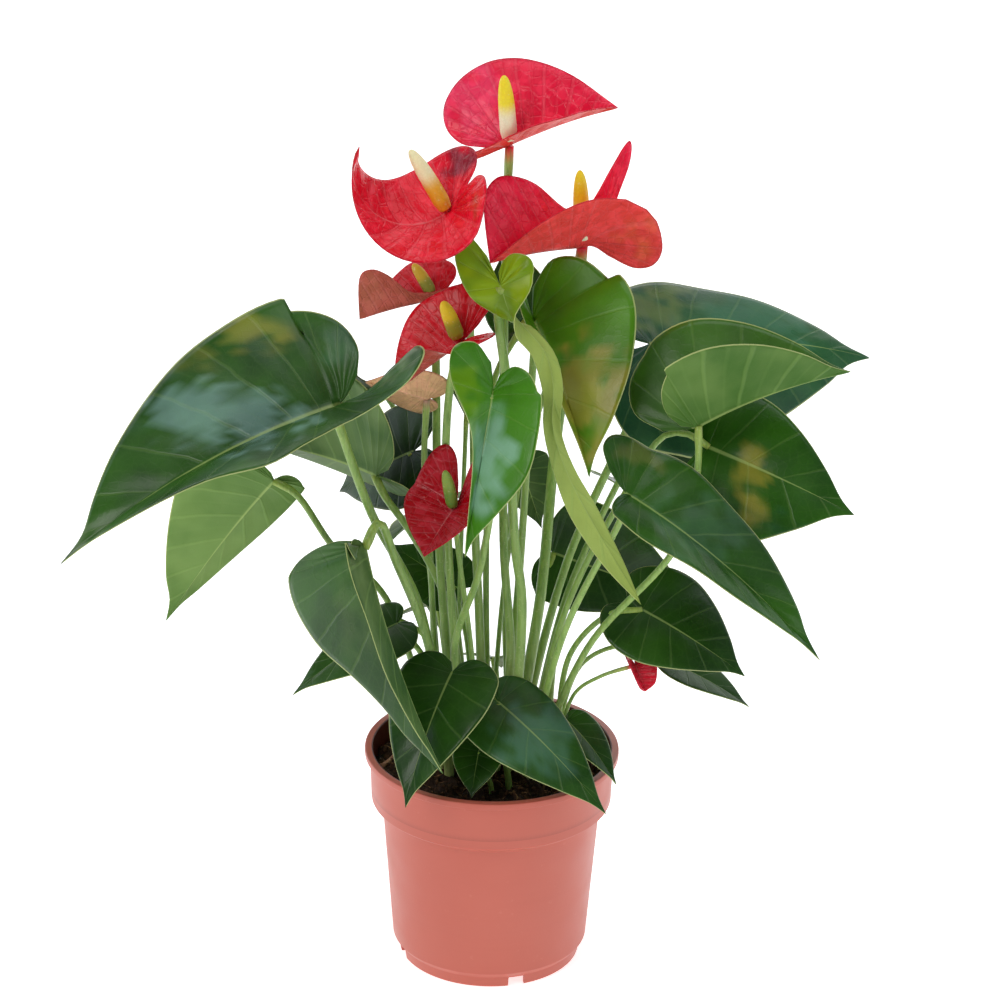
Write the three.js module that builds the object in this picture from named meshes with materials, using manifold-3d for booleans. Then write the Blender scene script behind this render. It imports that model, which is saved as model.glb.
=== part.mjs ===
// A potted anthurium: heart-shaped leaves and red blooms on long stems, growing from
// potting soil in a plain plastic nursery pot. Millimetres, +Z up, with the plant's front
// facing -Y. The plant is laid out round the pot's axis, and the whole is then moved so that
// the origin lies under the middle of its spread, on the surface that the pot stands on.
import * as THREE from 'three';
import { mergeVertices } from 'three/addons/utils/BufferGeometryUtils.js';
import Module from 'manifold-3d';

const wasm = await Module();
wasm.setup();

// ---------------------------------------------------------------- driving sizes, mm

const AXIS_X = 9.5;
const POT_HEIGHT = 106;
const RIM_RADIUS = 60;
const LIP_DROP = 3.2;
const COLLAR_RADIUS = 57.6;
const COLLAR_HEIGHT = 25.5;
const SHOULDER_RADIUS = 51.6;
const SHOULDER_DROP = 3.4;
const WALL_FOOT_RADIUS = 46.2;
const FOOT_RADIUS = 42.8;
const FOOT_HEIGHT = 5.5;
const FOOT_STEP = 3;
const FOOT_WIDTH = 2;
const WALL = 1.3;
const FLOOR_TOP = 8;
const FLOOR_UNDER = 6.5;
const FOOT_FLARE = 0.8;
const COLLAR_FLARE = 0.8;
const POT_SIDES = 32;

const DRAIN_HOLES = 6;
const DRAIN_HOLE_RADIUS = 3.4;
const DRAIN_RING_RADIUS = 28;
const DRAIN_SIDES = 10;
const NOTCHES = 4;
const NOTCH_WIDTH = 8;
const NOTCH_HEIGHT = 5;
const NOTCH_TURN = 18;

const SOIL_TOP = 97;
const SOIL_ROUGH = 1.5;
const SOIL_RINGS = [16, 32, 46];
const SOIL_BANK = 4;
const GAP = 0.3;

const STEM_DEPTH = 13;
const STEM_HOLE = 0.7;
const STEM_SIDES = 6;
const STEM_STEPS = 7;
const SHORT_STEM_STEPS = 5;
const SHORT_STEM = 180;
const BASE_SWELL = 1.2;

const BLADE = 0.8;
const LARGE_BLADE = 110;
const SMALL_BLADE = 80;
const LOBE_TURN = 0.12;
const HALF_WIDTH = 0.4;
const FOLD_TURN = 0.5;
const TWIST_END = 0.16;

const SPADIX_SIDES = 8;
const SPADIX_STEPS = 7;
const SPADIX_BOW = 0.6;
const FLORET = 0.06;
const SPATHE_CLEAR = 0.8;
const SPADIX_BASE = 0.35;

// One half of a heart-shaped blade, from the notch at its base round to the tip. Each row is
// a vein: how far along the blade and out to the side it ends, and where it leaves the
// midrib, all as shares of the blade's length.
const LEAF_VEINS = [
  [-0.17, 0.035, -0.03],
  [-0.255, 0.1, -0.03],
  [-0.265, 0.2, -0.03],
  [-0.19, 0.3, -0.03],
  [-0.05, 0.37, 0],
  [0.12, 0.395, 0.04],
  [0.3, 0.365, 0.13],
  [0.48, 0.295, 0.27],
  [0.65, 0.21, 0.44],
  [0.79, 0.125, 0.62],
  [0.89, 0.045, 0.8],
  [1, 0, 1],
];
const SMALL_LEAF_VEINS = [
  [-0.17, 0.035, -0.03],
  [-0.265, 0.14, -0.03],
  [-0.22, 0.27, -0.03],
  [-0.03, 0.375, 0],
  [0.22, 0.385, 0.08],
  [0.48, 0.295, 0.27],
  [0.72, 0.16, 0.5],
  [0.88, 0.05, 0.75],
  [1, 0, 1],
];
const NARROW_VEINS = [
  [-0.09, 0.008, -0.01],
  [-0.15, 0.035, -0.01],
  [-0.165, 0.07, -0.01],
  [-0.11, 0.105, -0.01],
  [-0.02, 0.105, 0],
  [0.07, 0.065, 0.02],
  [0.16, 0.045, 0.1],
  [0.28, 0.036, 0.22],
  [0.42, 0.026, 0.36],
  [0.56, 0.034, 0.5],
  [0.7, 0.05, 0.62],
  [0.86, 0.038, 0.78],
  [1, 0, 1],
];
const SPATHE_VEINS = [
  [-0.2, 0.05, -0.02],
  [-0.37, 0.14, -0.02],
  [-0.43, 0.28, -0.02],
  [-0.35, 0.43, -0.02],
  [-0.14, 0.54, -0.02],
  [0.12, 0.57, 0.04],
  [0.34, 0.52, 0.15],
  [0.54, 0.41, 0.32],
  [0.72, 0.27, 0.52],
  [0.88, 0.11, 0.75],
  [1, 0, 1],
];

// ---------------------------------------------------------------- the leaves

// joint: where the stem meets the blade. tip: the blade's tip. roll: the blade's turn about
// the line between them. fold and curl: how far each half, left then right, is raised at the
// midrib and bends on towards its edge. bend: how far the midrib arches. lift: how far the
// base lobes rise. wide: width against the plain outline. foot and way: where the stem
// leaves the soil and what it passes through. thick: the stem. tipFold: the fold towards the
// tip. lobe: how long the base lobes are. wave: how high the blade ripples. course: what the
// midrib passes through, turning by twist on its way. shape: how far each half departs from
// the plain outline at each vein; an empty row keeps to it. narrow: a young leaf's slender
// outline. Degrees and millimetres.
const LEAVES = [
  {
    name: 'leaf_01_left_large', joint: [-74, -20, 286], tip: [-195, -60, 224],
    roll: 0, fold: [5, 46], tipFold: [18, 38], curl: [-10, -20], bend: 25, lift: [48, 28],
    lobe: [1.36, 0.75], wide: [1.05, 1.12], wave: 1,
    shape: [
      [4, 2, 1.4, 0.9, 0.4, 0.5, 0.8, 0.8, 0.75, 0.7, 0.7, 1],
      [1, 1, 1, 1, 1, 1, 1, 1, 0.95, 0.8, 0.6, 1],
    ],
    foot: [-24, -4], way: [[-34, -6, 179], [-57, -12, 231], [-71, -19, 276]], thick: 4.2,
  },
  {
    name: 'leaf_02_left_hanging', joint: [-103, 15, 234], tip: [-156, 35, 152],
    roll: 60, fold: [10, 20], curl: [-15, -15], bend: 20, lift: [20, 20], lobe: 0.2,
    wide: [0.95, 0.45],
    foot: [-27, 6], way: [[-51, 18, 174], [-75, 14, 201], [-93, 13, 229]], thick: 3.2,
  },
  {
    name: 'leaf_03_front_left', joint: [-59, -35, 223], tip: [-22, -80, 132],
    roll: 80, fold: [60, 5], curl: [-10, -10], bend: 20, lift: [30, 30], lobe: 0.3,
    wide: [0.9, 1.3], wave: 1,
    shape: [[], [1, 1, 1, 1, 1, 1, 0.9, 0.72, 0.6, 0.65, 0.9, 1]],
    foot: [-20, -14], way: [[-31, -18, 170], [-45, -25, 212], [-53, -30, 234]], thick: 4,
  },
  {
    name: 'leaf_04_low_left', joint: [-46, -1, 169], tip: [-93, -16, 139],
    roll: -8, fold: [5, 10], curl: [-15, -15], bend: 20, lift: [10, 10], lobe: 0.5,
    wide: [1, 0.8],
    foot: [-20, 8], way: [[-33, 1, 152]], thick: 2.8,
  },
  {
    name: 'leaf_05_low_front', joint: [-19, -32, 159], tip: [-39, -72, 110],
    roll: 5, fold: [8, 8], curl: [-15, -15], bend: 25, lift: [10, 10], lobe: 0.5, wide: 1,
    foot: [-6, -25], way: [[-13, -21, 138]], thick: 3,
  },
  {
    name: 'leaf_06_low_right', joint: [3, -27, 142], tip: [53, -66, 105],
    roll: 20, fold: [5, -3], curl: [-15, -15], bend: 25, lift: [10, 10], lobe: [0.5, 0.6],
    wide: [0.7, 0.8],
    foot: [8, -24], way: [[4, -24, 124]], thick: 3,
  },
  {
    name: 'leaf_07_rim_right', joint: [35, -19, 129], tip: [58, -42, 108],
    roll: 0, fold: [10, 15], curl: [-15, -15], bend: 25, lift: [10, 10], lobe: 0.4,
    wide: 0.85,
    foot: [26, -18], way: [[31, -18, 116]], thick: 2.6,
  },
  {
    name: 'leaf_08_soil_front', joint: [-6, -34, 120], tip: [-9, -50, 104],
    roll: 0, fold: [10, 10], curl: [-10, -10], bend: 20, lift: [0, 0], wide: 1.3,
    foot: [0, -31], way: [[-3, -33, 110]], thick: 2.4,
  },
  {
    name: 'leaf_09_young_long', joint: [1, -22, 346], tip: [65, -93, 224],
    roll: 60, fold: [8, 8], curl: [-5, -5], bend: 20, lift: [0, 0], lobe: [0.45, 1.05],
    wide: [1, 0.9], twist: 125, narrow: true,
    course: [
      [6, -25, 334], [13, -28, 327], [21, -34, 319], [25, -41, 306],
      [25, -50, 290], [31, -61, 274], [43, -75, 255],
    ],
    foot: [9, -9], way: [[13, -10, 185], [9, -11, 218], [5, -12, 290], [0, -16, 332]],
    thick: 4.6,
  },
  {
    name: 'leaf_10_centre', joint: [-2, -50, 305], tip: [-13, -86, 242],
    roll: -10, fold: [30, 20], tipFold: [30, 60], curl: [-10, -10], bend: 20,
    lift: [30, 30], lobe: [0.8, 1.2], wide: 1,
    shape: [
      [0.95, 0.95, 0.95, 0.9, 0.95, 1.15, 1.1, 0.9, 1],
      [1.1, 1.1, 1.05, 0.7, 0.3, 0.22, 0.22, 0.4, 1],
    ],
    foot: [-10, -16], way: [[-18, -18, 165], [-7, -22, 206], [0, -36, 266]], thick: 3.4,
  },
  {
    name: 'leaf_11_bright', joint: [17, 8, 316], tip: [42, -45, 264],
    roll: 0, fold: [45, 45], curl: [-10, -10], bend: 25, lift: [28, 30], lobe: 1.35,
    wide: [1.5, 0.35], wave: 1,
    foot: [6, 4], way: [[12, 6, 200], [15, 6, 270]], thick: 3.6,
  },
  {
    name: 'leaf_12_back_right', joint: [73, 42, 295], tip: [176, 75, 276],
    roll: 0, fold: [25, -45], curl: [-15, -15], bend: 20, lift: [15, 15], lobe: 0.8,
    wide: [1, 1.3], wave: 1,
    foot: [14, 18], way: [[34, 26, 190], [67, 38, 270]], thick: 4,
  },
  {
    name: 'leaf_13_right_pale', joint: [91, -28, 283], tip: [159, -20, 307],
    roll: 0, fold: [50, 70], curl: [-10, -10], bend: 20, lift: [8, 8], lobe: [1.3, 0.6],
    wide: [1.7, 1.6],
    foot: [22, -5], way: [[44, -14, 165], [83, -36, 228], [91, -28, 257]], thick: 3.2,
  },
  {
    name: 'leaf_14_right', joint: [97, -5, 263], tip: [163, -30, 241],
    roll: 48, fold: [5, 5], curl: [-15, -15], bend: 20, lift: [15, 15], lobe: [1, 0.3],
    wide: [1.1, 1.6],
    foot: [18, 3], way: [[33, 0, 176], [58, -4, 236], [77, -4, 268], [88, -5, 269]],
    thick: 3,
  },
  {
    name: 'leaf_15_front_right', joint: [61, -50, 257], tip: [146, -85, 194],
    roll: 0, fold: [38, 5], curl: [-15, -10], bend: 20, lift: [20, 20], lobe: [0.9, 0.15],
    wide: [0.66, 0.55], wave: 1,
    foot: [17, -15], way: [[26, -18, 149], [35, -28, 186], [54, -46, 238]], thick: 3.2,
  },
  {
    name: 'leaf_16_right_low', joint: [69, 0, 178], tip: [117, -20, 154],
    roll: 30, fold: [5, 5], curl: [-10, -20], bend: 20, lift: [0, 10], wide: [1.25, 1.1],
    foot: [31, -1], way: [[36, -3, 156], [54, -3, 177]], thick: 2.8,
  },
  {
    name: 'leaf_17_right_small', joint: [88, 14, 142], tip: [121, 5, 126],
    roll: 5, fold: [10, 10], curl: [-10, -10], bend: 15, lift: [0, 0], wide: 0.95,
    foot: [30, 9], way: [[42, 10, 145], [64, 12, 154]], thick: 2.2,
  },
  {
    name: 'leaf_18_behind_right', joint: [28, 50, 184], tip: [97, 54, 158],
    roll: 80, fold: [15, 15], curl: [-10, -10], bend: 20, lift: [20, 20], lobe: 0.4,
    wide: [1.1, 0.8],
    foot: [15, 33], way: [[20, 41, 150]], thick: 3,
  },
  {
    name: 'leaf_19_behind_left', joint: [-56, 4, 243], tip: [-128, 60, 238],
    roll: 80, fold: [5, 40], curl: [-10, -10], bend: 20, lift: [10, 10], lobe: 0.6,
    wide: [1.4, 0.6],
    foot: [-12, 3], way: [[-23, 2, 182], [-39, 4, 214], [-51, 4, 232]], thick: 3.6,
  },
  {
    name: 'leaf_20_dark_left', joint: [-40, 28, 244], tip: [-74, 52, 213],
    roll: -60, fold: [5, 5], curl: [-10, -10], bend: 20, lift: [5, 5], lobe: 1.3,
    wide: 1.25,
    foot: [-11, 11], way: [[-20, 14, 180], [-30, 30, 220]], thick: 3.4,
  },
  {
    name: 'leaf_21_inner_left', joint: [-20, 32, 175], tip: [-50, 40, 192],
    roll: -60, fold: [10, 10], curl: [-10, -10], bend: 20, lift: [10, 10], wide: 1.1,
    foot: [-9, 20], way: [[-13, 27, 150]], thick: 2.4,
  },
  {
    name: 'leaf_22_inner_small', joint: [-27, 44, 160], tip: [-22, 52, 133],
    roll: 0, fold: [10, 10], curl: [-10, -10], bend: 20, lift: [10, 10], wide: 0.8,
    foot: [-19, 27], way: [[-24, 36, 142]], thick: 2.2,
  },
  {
    name: 'leaf_23_inner_hanging', joint: [12, 34, 236], tip: [22, 42, 200],
    roll: -65, fold: [10, 10], curl: [-10, -10], bend: 20, lift: [10, 10], lobe: 0.5,
    wide: 0.9,
    foot: [0, 24], way: [[4, 27, 170]], thick: 2.4,
  },
  {
    name: 'leaf_24_back_upright', joint: [13, 49, 303], tip: [5, 53, 342],
    roll: -80, fold: [10, 10], curl: [-10, -10], bend: 20, lift: [30, 30], wide: 1.2,
    foot: [-2, 15], way: [[-4, 24, 200], [-2, 38, 275]], thick: 3,
  },
  {
    name: 'leaf_25_back_grey', joint: [30, 62, 292], tip: [0, 82, 304],
    roll: 60, fold: [10, 10], curl: [-10, -10], bend: 20, lift: [30, 30], wide: 1,
    foot: [8, 27], way: [[6, 40, 200], [22, 58, 262]], thick: 2.8,
  },
  {
    name: 'leaf_26_right_glossy', joint: [66, 40, 244], tip: [122, 70, 236],
    roll: 20, fold: [10, 10], curl: [-10, -10], bend: 20, lift: [30, 30], lobe: 0.3,
    wide: 0.9,
    foot: [20, 25], way: [[34, 30, 170], [60, 38, 232]], thick: 3.2,
  },
  {
    name: 'leaf_27_left_inner', joint: [-62, 22, 280], tip: [-88, 40, 290],
    roll: 40, fold: [10, 10], curl: [-10, -10], bend: 20, lift: [20, 20], wide: 1,
    foot: [-24, 21], way: [[-31, 26, 190], [-38, 47, 232], [-50, 59, 256]], thick: 2.6,
  },
  {
    name: 'leaf_28_centre_small', joint: [-14, 20, 268], tip: [-26, 30, 282],
    roll: 60, fold: [10, 10], curl: [-10, -10], bend: 20, lift: [10, 10], wide: 1,
    foot: [-17, 16], way: [[-16, 20, 190]], thick: 2.2,
  },
  {
    name: 'leaf_29_back_low', joint: [-49, 54, 147], tip: [-68, 86, 118],
    roll: 0, fold: [10, 10], curl: [-15, -15], bend: 25, lift: [15, 15], wide: 1.2,
    foot: [-16, 33], way: [[-32, 46, 140]], thick: 2.8,
  },
  {
    name: 'leaf_30_back_centre', joint: [0, 58, 124], tip: [4, 93, 102],
    roll: 0, fold: [10, 10], curl: [-15, -15], bend: 25, lift: [15, 15], lobe: 0.7,
    wide: 1.1,
    foot: [2, 35], way: [[2, 47, 117]], thick: 2.8,
  },
  {
    name: 'leaf_31_back_right', joint: [66, 58, 212], tip: [104, 94, 176],
    roll: 0, fold: [10, 10], curl: [-15, -15], bend: 25, lift: [15, 15], wide: 1.1,
    foot: [27, 33], way: [[32, 56, 142], [52, 62, 190]], thick: 3,
  },
  {
    name: 'leaf_32_back_left', joint: [-28, 66, 200], tip: [-52, 94, 167],
    roll: 0, fold: [10, 10], curl: [-15, -15], bend: 25, lift: [15, 15], wide: 0.8,
    foot: [-8, 31], way: [[-14, 44, 150], [-24, 60, 186]], thick: 3,
  },
];

// ---------------------------------------------------------------- the blooms

// As for the leaves, with the spadix's tip from the joint, its girth, and how far from the
// joint it starts.
const BLOOMS = [
  {
    name: 'bloom_1_top', joint: [4, 33, 394], tip: [53, 43, 409],
    roll: 0, fold: [52, 42], tipFold: [52, 32], curl: [-10, -10], bend: 15, lift: [0, 0],
    lobe: [1, 1.3], wide: [1.4, 1],
    shape: [[], [0.6, 0.6, 0.6, 0.55, 0.4, 0.4, 0.7, 1, 1, 1, 1]],
    foot: [2, -5], way: [[8, -3, 151], [4, 0, 213], [3, 35, 350]], thick: 4,
    spadix: [-3, -4, 34], girth: 7.6, seat: 2.7,
  },
  {
    name: 'bloom_2_left', joint: [-23, -14, 378], tip: [-62, -20, 410],
    roll: 0, fold: [-10, 25], curl: [0, 10], bend: -155, lift: [30, 10], lobe: [0.85, 0.9],
    wide: [0.85, 0.75],
    foot: [-4, 7], way: [[-7, 5, 175], [-9, 4, 211], [-12, 12, 300], [-16, 6, 345]],
    thick: 4, spadix: [-17, -3, 30], girth: 7.4, seat: 2.2,
  },
  {
    name: 'bloom_3_right', joint: [38, 30, 347], tip: [-4, 5, 347],
    roll: 0, fold: [58, 60], curl: [0, 0], bend: 10, lift: [-45, 60], lobe: [1.5, 2.6],
    wide: [1.2, 1.2], shape: [[], [0.8, 0.8, 0.7, 0.5, 0.4, 0.55, 1, 1.5, 2.3, 4.2, 1]],
    foot: [11, 8], way: [[22, 14, 180], [27, 30, 241], [36, 38, 320]], thick: 5,
    spadix: [-2, -2, 37], girth: 7.4, seat: 3.4,
  },
  {
    name: 'bloom_4_back_left', joint: [-29, 18, 325], tip: [-63, 8, 318],
    roll: 0, fold: [60, 38], tipFold: [80, 38], curl: [0, 0], bend: 10, lift: [10, 20],
    wide: [0.8, 1],
    shape: [
      [0.3, 0.3, 0.3, 0.3, 0.3, 0.3, 0.5, 1.5, 3, 6.5, 1],
      [1, 1, 1, 1, 1, 1, 0.9, 0.8, 0.9, 1.5, 1],
    ],
    foot: [-17, -2], way: [[-25, -5, 200], [-27, 2, 240], [-28, 14, 285]], thick: 4,
    spadix: [-10, -2, 17], girth: 5.6, seat: 3.4,
  },
  {
    name: 'bloom_5_front_red', joint: [-17, -8, 313], tip: [-47, -12, 290],
    roll: -30, fold: [40, 25], tipFold: [88, 25], curl: [0, 0], bend: 10, lift: [-15, 5],
    lobe: [0.9, 1.6], wide: 1.2,
    shape: [[1, 1, 1, 0.9, 0.8, 0.75, 0.7, 0.7, 0.8, 1, 1], []],
    foot: [-14, -9], way: [[-20, -10, 190], [-23, -9, 260], [-21, -6, 294]], thick: 3.8,
    spadix: [-8, -2, 21], girth: 7, seat: 3.4,
  },
  {
    name: 'bloom_6_small', joint: [-19, -24, 238], tip: [-32, -41, 222],
    roll: 0, fold: [20, 20], curl: [0, 0], bend: 10, lift: [40, 40], lobe: 2.5,
    wide: [1.2, 1.5],
    foot: [-4, -18], way: [[-11, -13, 169], [-16, -12, 206]], thick: 2.6,
    spadix: [-4, -4, 21], girth: 5.6, seat: 2.2,
  },
  {
    name: 'bloom_7_bud', joint: [66, -12, 155], tip: [71, -19, 145],
    roll: 0, fold: [30, 30], curl: [20, 20], bend: 10, lift: [0, 0], wide: 1.4,
    shape: [
      [1, 1, 1, 1, 1, 1, 1, 1.1, 1.4, 2.4, 1],
      [1, 1, 1, 1, 1, 1, 1, 1.1, 1.4, 2.4, 1],
    ],
    foot: [30, -12], way: [[38, -9, 138], [50, -10, 148]], thick: 1.8,
  },
  {
    name: 'bloom_8_faded', joint: [-32, 0, 283], tip: [-60, -4, 292],
    roll: 60, fold: [10, 10], curl: [0, 0], bend: 10, lift: [10, 10], lobe: 0.6, wide: 0.9,
    foot: [-26, 12], way: [[-30, 9, 200], [-33, 3, 250]], thick: 3, spadix: [-5, 7, 9],
    girth: 5.4, seat: 2.6,
  },
];

// ---------------------------------------------------------------- small helpers

const radians = THREE.MathUtils.degToRad;
const vector = ([x, y, z]) => new THREE.Vector3(x, y, z);

// A closed mesh from a flat list of points and a list of triangles, with shared corners
// joined and empty triangles dropped.
function closedMesh(points, triangles) {
  const raw = new THREE.BufferGeometry();
  raw.setAttribute('position', new THREE.Float32BufferAttribute(points.flatMap((p) => [p.x, p.y, p.z]), 3));
  raw.setIndex(triangles.flat());
  const merged = mergeVertices(raw, 1e-4);
  const corners = Array.from(merged.index.array);
  const kept = [];
  for (let i = 0; i < corners.length; i += 3) {
    const [a, b, c] = corners.slice(i, i + 3);
    if (a !== b && b !== c && c !== a) {
      kept.push(a, b, c);
    }
  }
  merged.setIndex(kept);
  return merged;
}

function solidOf(geometry) {
  const plain = geometry.clone();
  plain.deleteAttribute('normal');
  plain.deleteAttribute('uv');
  const merged = mergeVertices(plain, 1e-4);
  const mesh = new wasm.Mesh({
    numProp: 3,
    vertProperties: new Float32Array(merged.attributes.position.array),
    triVerts: new Uint32Array(merged.index.array),
  });
  return new wasm.Manifold(mesh);
}

function geometryOf(solid) {
  const mesh = solid.getMesh();
  const geometry = new THREE.BufferGeometry();
  geometry.setAttribute('position', new THREE.Float32BufferAttribute(mesh.vertProperties, 3));
  geometry.setIndex(Array.from(mesh.triVerts));
  geometry.computeVertexNormals();
  return geometry;
}

// The largest body of a solid that a cut may have left in several.
function largest(solid) {
  return solid.decompose().sort((a, b) => b.volume() - a.volume())[0];
}

// ---------------------------------------------------------------- stems

// A tube with closed ends along a curve. radiusAt gives its radius from the share of the way,
// the step and the side.
function sweep(curve, radiusAt, sides, steps) {
  const frames = curve.computeFrenetFrames(steps, false);
  const points = [];
  const triangles = [];
  for (let i = 0; i <= steps; i += 1) {
    const centre = curve.getPointAt(i / steps);
    for (let j = 0; j < sides; j += 1) {
      const turn = (2 * Math.PI * j) / sides;
      const radius = radiusAt(i / steps, i, j);
      const out = frames.normals[i].clone().multiplyScalar(Math.cos(turn) * radius)
        .addScaledVector(frames.binormals[i], Math.sin(turn) * radius);
      points.push(centre.clone().add(out));
    }
  }
  for (let i = 0; i < steps; i += 1) {
    for (let j = 0; j < sides; j += 1) {
      const a = i * sides + j;
      const b = i * sides + ((j + 1) % sides);
      triangles.push([a, b, b + sides], [a, b + sides, a + sides]);
    }
  }
  for (let j = 1; j < sides - 1; j += 1) {
    const last = steps * sides;
    triangles.push([0, j + 1, j], [last, last + j, last + j + 1]);
  }
  return closedMesh(points, triangles);
}

// A stem stands upright in the soil, then follows its way up to the joint. A bloom's stem
// ends just short of its spathe.
function stemCurve({ joint, foot: [x, y], way, spadix }, depth) {
  const root = new THREE.Vector3(x, y, SOIL_TOP - depth);
  const low = new THREE.Vector3(x, y, SOIL_TOP - 4);
  const collar = new THREE.Vector3(x, y, SOIL_TOP + 3);
  const passed = way.map(vector);
  const end = vector(joint);
  if (spadix) {
    end.sub(end.clone().sub(passed[passed.length - 1]).setLength(SPATHE_CLEAR));
  }
  return new THREE.CatmullRomCurve3([root, low, collar, ...passed, end]);
}

function stemSolid(plant, around = 0) {
  const swell = (share) => 1 + (BASE_SWELL - 1) * Math.max(0, 1 - 3 * share);
  const radiusAt = (share) => (plant.thick / 2) * swell(share) + around;
  const steps = plant.joint[2] < SHORT_STEM ? SHORT_STEM_STEPS : STEM_STEPS;
  return solidOf(sweep(stemCurve(plant, STEM_DEPTH + around), radiusAt, STEM_SIDES, steps));
}

// ---------------------------------------------------------------- blades

// The axes of a blade that heads a given way: up out of its upper face, and left.
function axesAlong(along, roll) {
  const up = new THREE.Vector3(0, 0, 1).addScaledVector(along, -along.z).normalize();
  up.applyAxisAngle(along, radians(roll));
  const left = new THREE.Vector3().crossVectors(up, along);
  return { along, up, left };
}

function bladeAxes({ joint, tip, roll, course }) {
  const chord = vector(tip).sub(vector(joint));
  if (course) {
    const curve = new THREE.CatmullRomCurve3([vector(joint), ...course.map(vector), vector(tip)]);
    return { chord: curve.getLength(), curve, ...axesAlong(curve.getTangentAt(0), roll) };
  }
  return { chord: chord.length(), ...axesAlong(chord.clone().normalize(), roll) };
}

// How far the midrib has turned from the line between joint and tip, at a share of its
// length. Behind the joint the lobes lift away.
function midribTurn(plant, share, lift) {
  const start = radians(plant.bend) / 2;
  if (share < 0) {
    return start - radians(lift) * Math.min(1, -share / LOBE_TURN);
  }
  return start - radians(plant.bend) * share;
}

// A value given either for the whole blade or for its left and right halves.
function forHalf(value, half) {
  return Array.isArray(value) ? value[half] : value;
}

// How far a half is raised at the midrib, which may change on the way to the tip.
function foldAt(plant, share, half) {
  if (!plant.tipFold) {
    return plant.fold[half];
  }
  const mix = THREE.MathUtils.smoothstep(share, 0, FOLD_TURN);
  return THREE.MathUtils.lerp(plant.fold[half], plant.tipFold[half], mix);
}

// The point of a blade at a share along the midrib and a share out to one side.
function bladePoint(plant, axes, share, out, half) {
  const side = half === 0 ? 1 : -1;
  const bend = radians(plant.bend) / 2;
  const length = Math.abs(bend) < 1e-3 ? axes.chord : (axes.chord * bend) / Math.sin(bend);
  const lift = plant.lift[half];
  const steps = 8;
  const lobe = share < 0 ? forHalf(plant.lobe ?? 1, half) : 1;
  const point = vector(plant.joint);
  let normal;
  let left = axes.left;
  if (axes.curve && share > 0) {
    const twist = plant.twist * THREE.MathUtils.smoothstep(share, 0, TWIST_END);
    const there = axesAlong(axes.curve.getTangentAt(share), plant.roll + twist);
    point.copy(axes.curve.getPointAt(share));
    normal = there.up;
    left = there.left;
  } else {
    for (let i = 0; i < steps; i += 1) {
      const turn = midribTurn(plant, (share * (i + 0.5)) / steps, lift);
      point.addScaledVector(axes.along, (Math.cos(turn) * share * lobe * length) / steps);
      point.addScaledVector(axes.up, (Math.sin(turn) * share * lobe * length) / steps);
    }
    const turn = midribTurn(plant, share, lift);
    normal = axes.up.clone().multiplyScalar(Math.cos(turn)).addScaledVector(axes.along, -Math.sin(turn));
  }
  const reach = out * forHalf(plant.wide, half) * length;
  const fold = foldAt(plant, share, half);
  for (let i = 0; i < steps; i += 1) {
    const middle = (out * (i + 0.5)) / steps;
    const rise = radians(fold + (plant.curl[half] * middle) / HALF_WIDTH);
    point.addScaledVector(left, (side * Math.cos(rise) * reach) / steps);
    point.addScaledVector(normal, (Math.sin(rise) * reach) / steps);
  }
  const wave = plant.wave ?? 0;
  const ripple = Math.sin(2 * Math.PI * (2.2 * share + 0.37 * half)) * wave * (out / HALF_WIDTH) ** 2;
  return point.addScaledVector(normal, ripple);
}

// A closed thin blade of the given thickness round its middle surface. Both halves are rows
// of veins, and the two faces are split into the same triangles.
function bladeMesh(plant, veins, thickness, divisions) {
  const axes = bladeAxes(plant);
  const points = [];
  for (let half = 0; half < 2; half += 1) {
    for (const [i, [end, out, foot]] of veins.entries()) {
      const reach = out * (plant.shape?.[half][i] ?? 1);
      for (let k = 0; k <= divisions; k += 1) {
        const part = k / divisions;
        points.push(bladePoint(plant, axes, foot + (end - foot) * part, reach * part, half));
      }
    }
  }
  const row = divisions + 1;
  const halfSize = veins.length * row;
  const faces = [];
  for (let half = 0; half < 2; half += 1) {
    for (let i = 0; i < veins.length - 1; i += 1) {
      for (let k = 0; k < divisions; k += 1) {
        const a = half * halfSize + i * row + k;
        const quads = [[a, a + 1, a + row + 1], [a, a + row + 1, a + row]];
        faces.push(...(half === 0 ? quads.map(([p, q, r]) => [p, r, q]) : quads));
      }
    }
  }
  const middle = closedMesh(points, faces);
  middle.computeVertexNormals();
  return thicken(middle, thickness);
}

// Two offset copies of an open surface, joined by a wall round its edge.
function thicken(surface, thickness) {
  const { position, normal } = surface.attributes;
  const corners = Array.from(surface.index.array);
  const count = position.count;
  const points = [];
  for (const side of [0.5, -0.5]) {
    for (let i = 0; i < count; i += 1) {
      const point = new THREE.Vector3().fromBufferAttribute(position, i);
      const out = new THREE.Vector3().fromBufferAttribute(normal, i);
      points.push(point.addScaledVector(out, side * thickness));
    }
  }
  const triangles = [];
  const edges = new Map();
  for (let i = 0; i < corners.length; i += 3) {
    const [a, b, c] = corners.slice(i, i + 3);
    triangles.push([a, b, c], [a + count, c + count, b + count]);
    for (const [p, q] of [[a, b], [b, c], [c, a]]) {
      edges.set(`${p},${q}`, [p, q]);
    }
  }
  for (const [p, q] of edges.values()) {
    if (!edges.has(`${q},${p}`)) {
      triangles.push([q, p, p + count], [q, p + count, q + count]);
    }
  }
  return closedMesh(points, triangles);
}

// Large blades have more points across each half than small ones.
function bladeSize({ joint, tip }) {
  return vector(tip).distanceTo(vector(joint));
}

function bladeOf(plant, veins, thickness) {
  const large = bladeSize(plant) > LARGE_BLADE && !plant.narrow;
  return bladeMesh(plant, veins, thickness, large ? 3 : 2);
}

function leafVeins(leaf) {
  if (leaf.narrow) {
    return NARROW_VEINS;
  }
  return bladeSize(leaf) > SMALL_BLADE ? LEAF_VEINS : SMALL_LEAF_VEINS;
}

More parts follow.
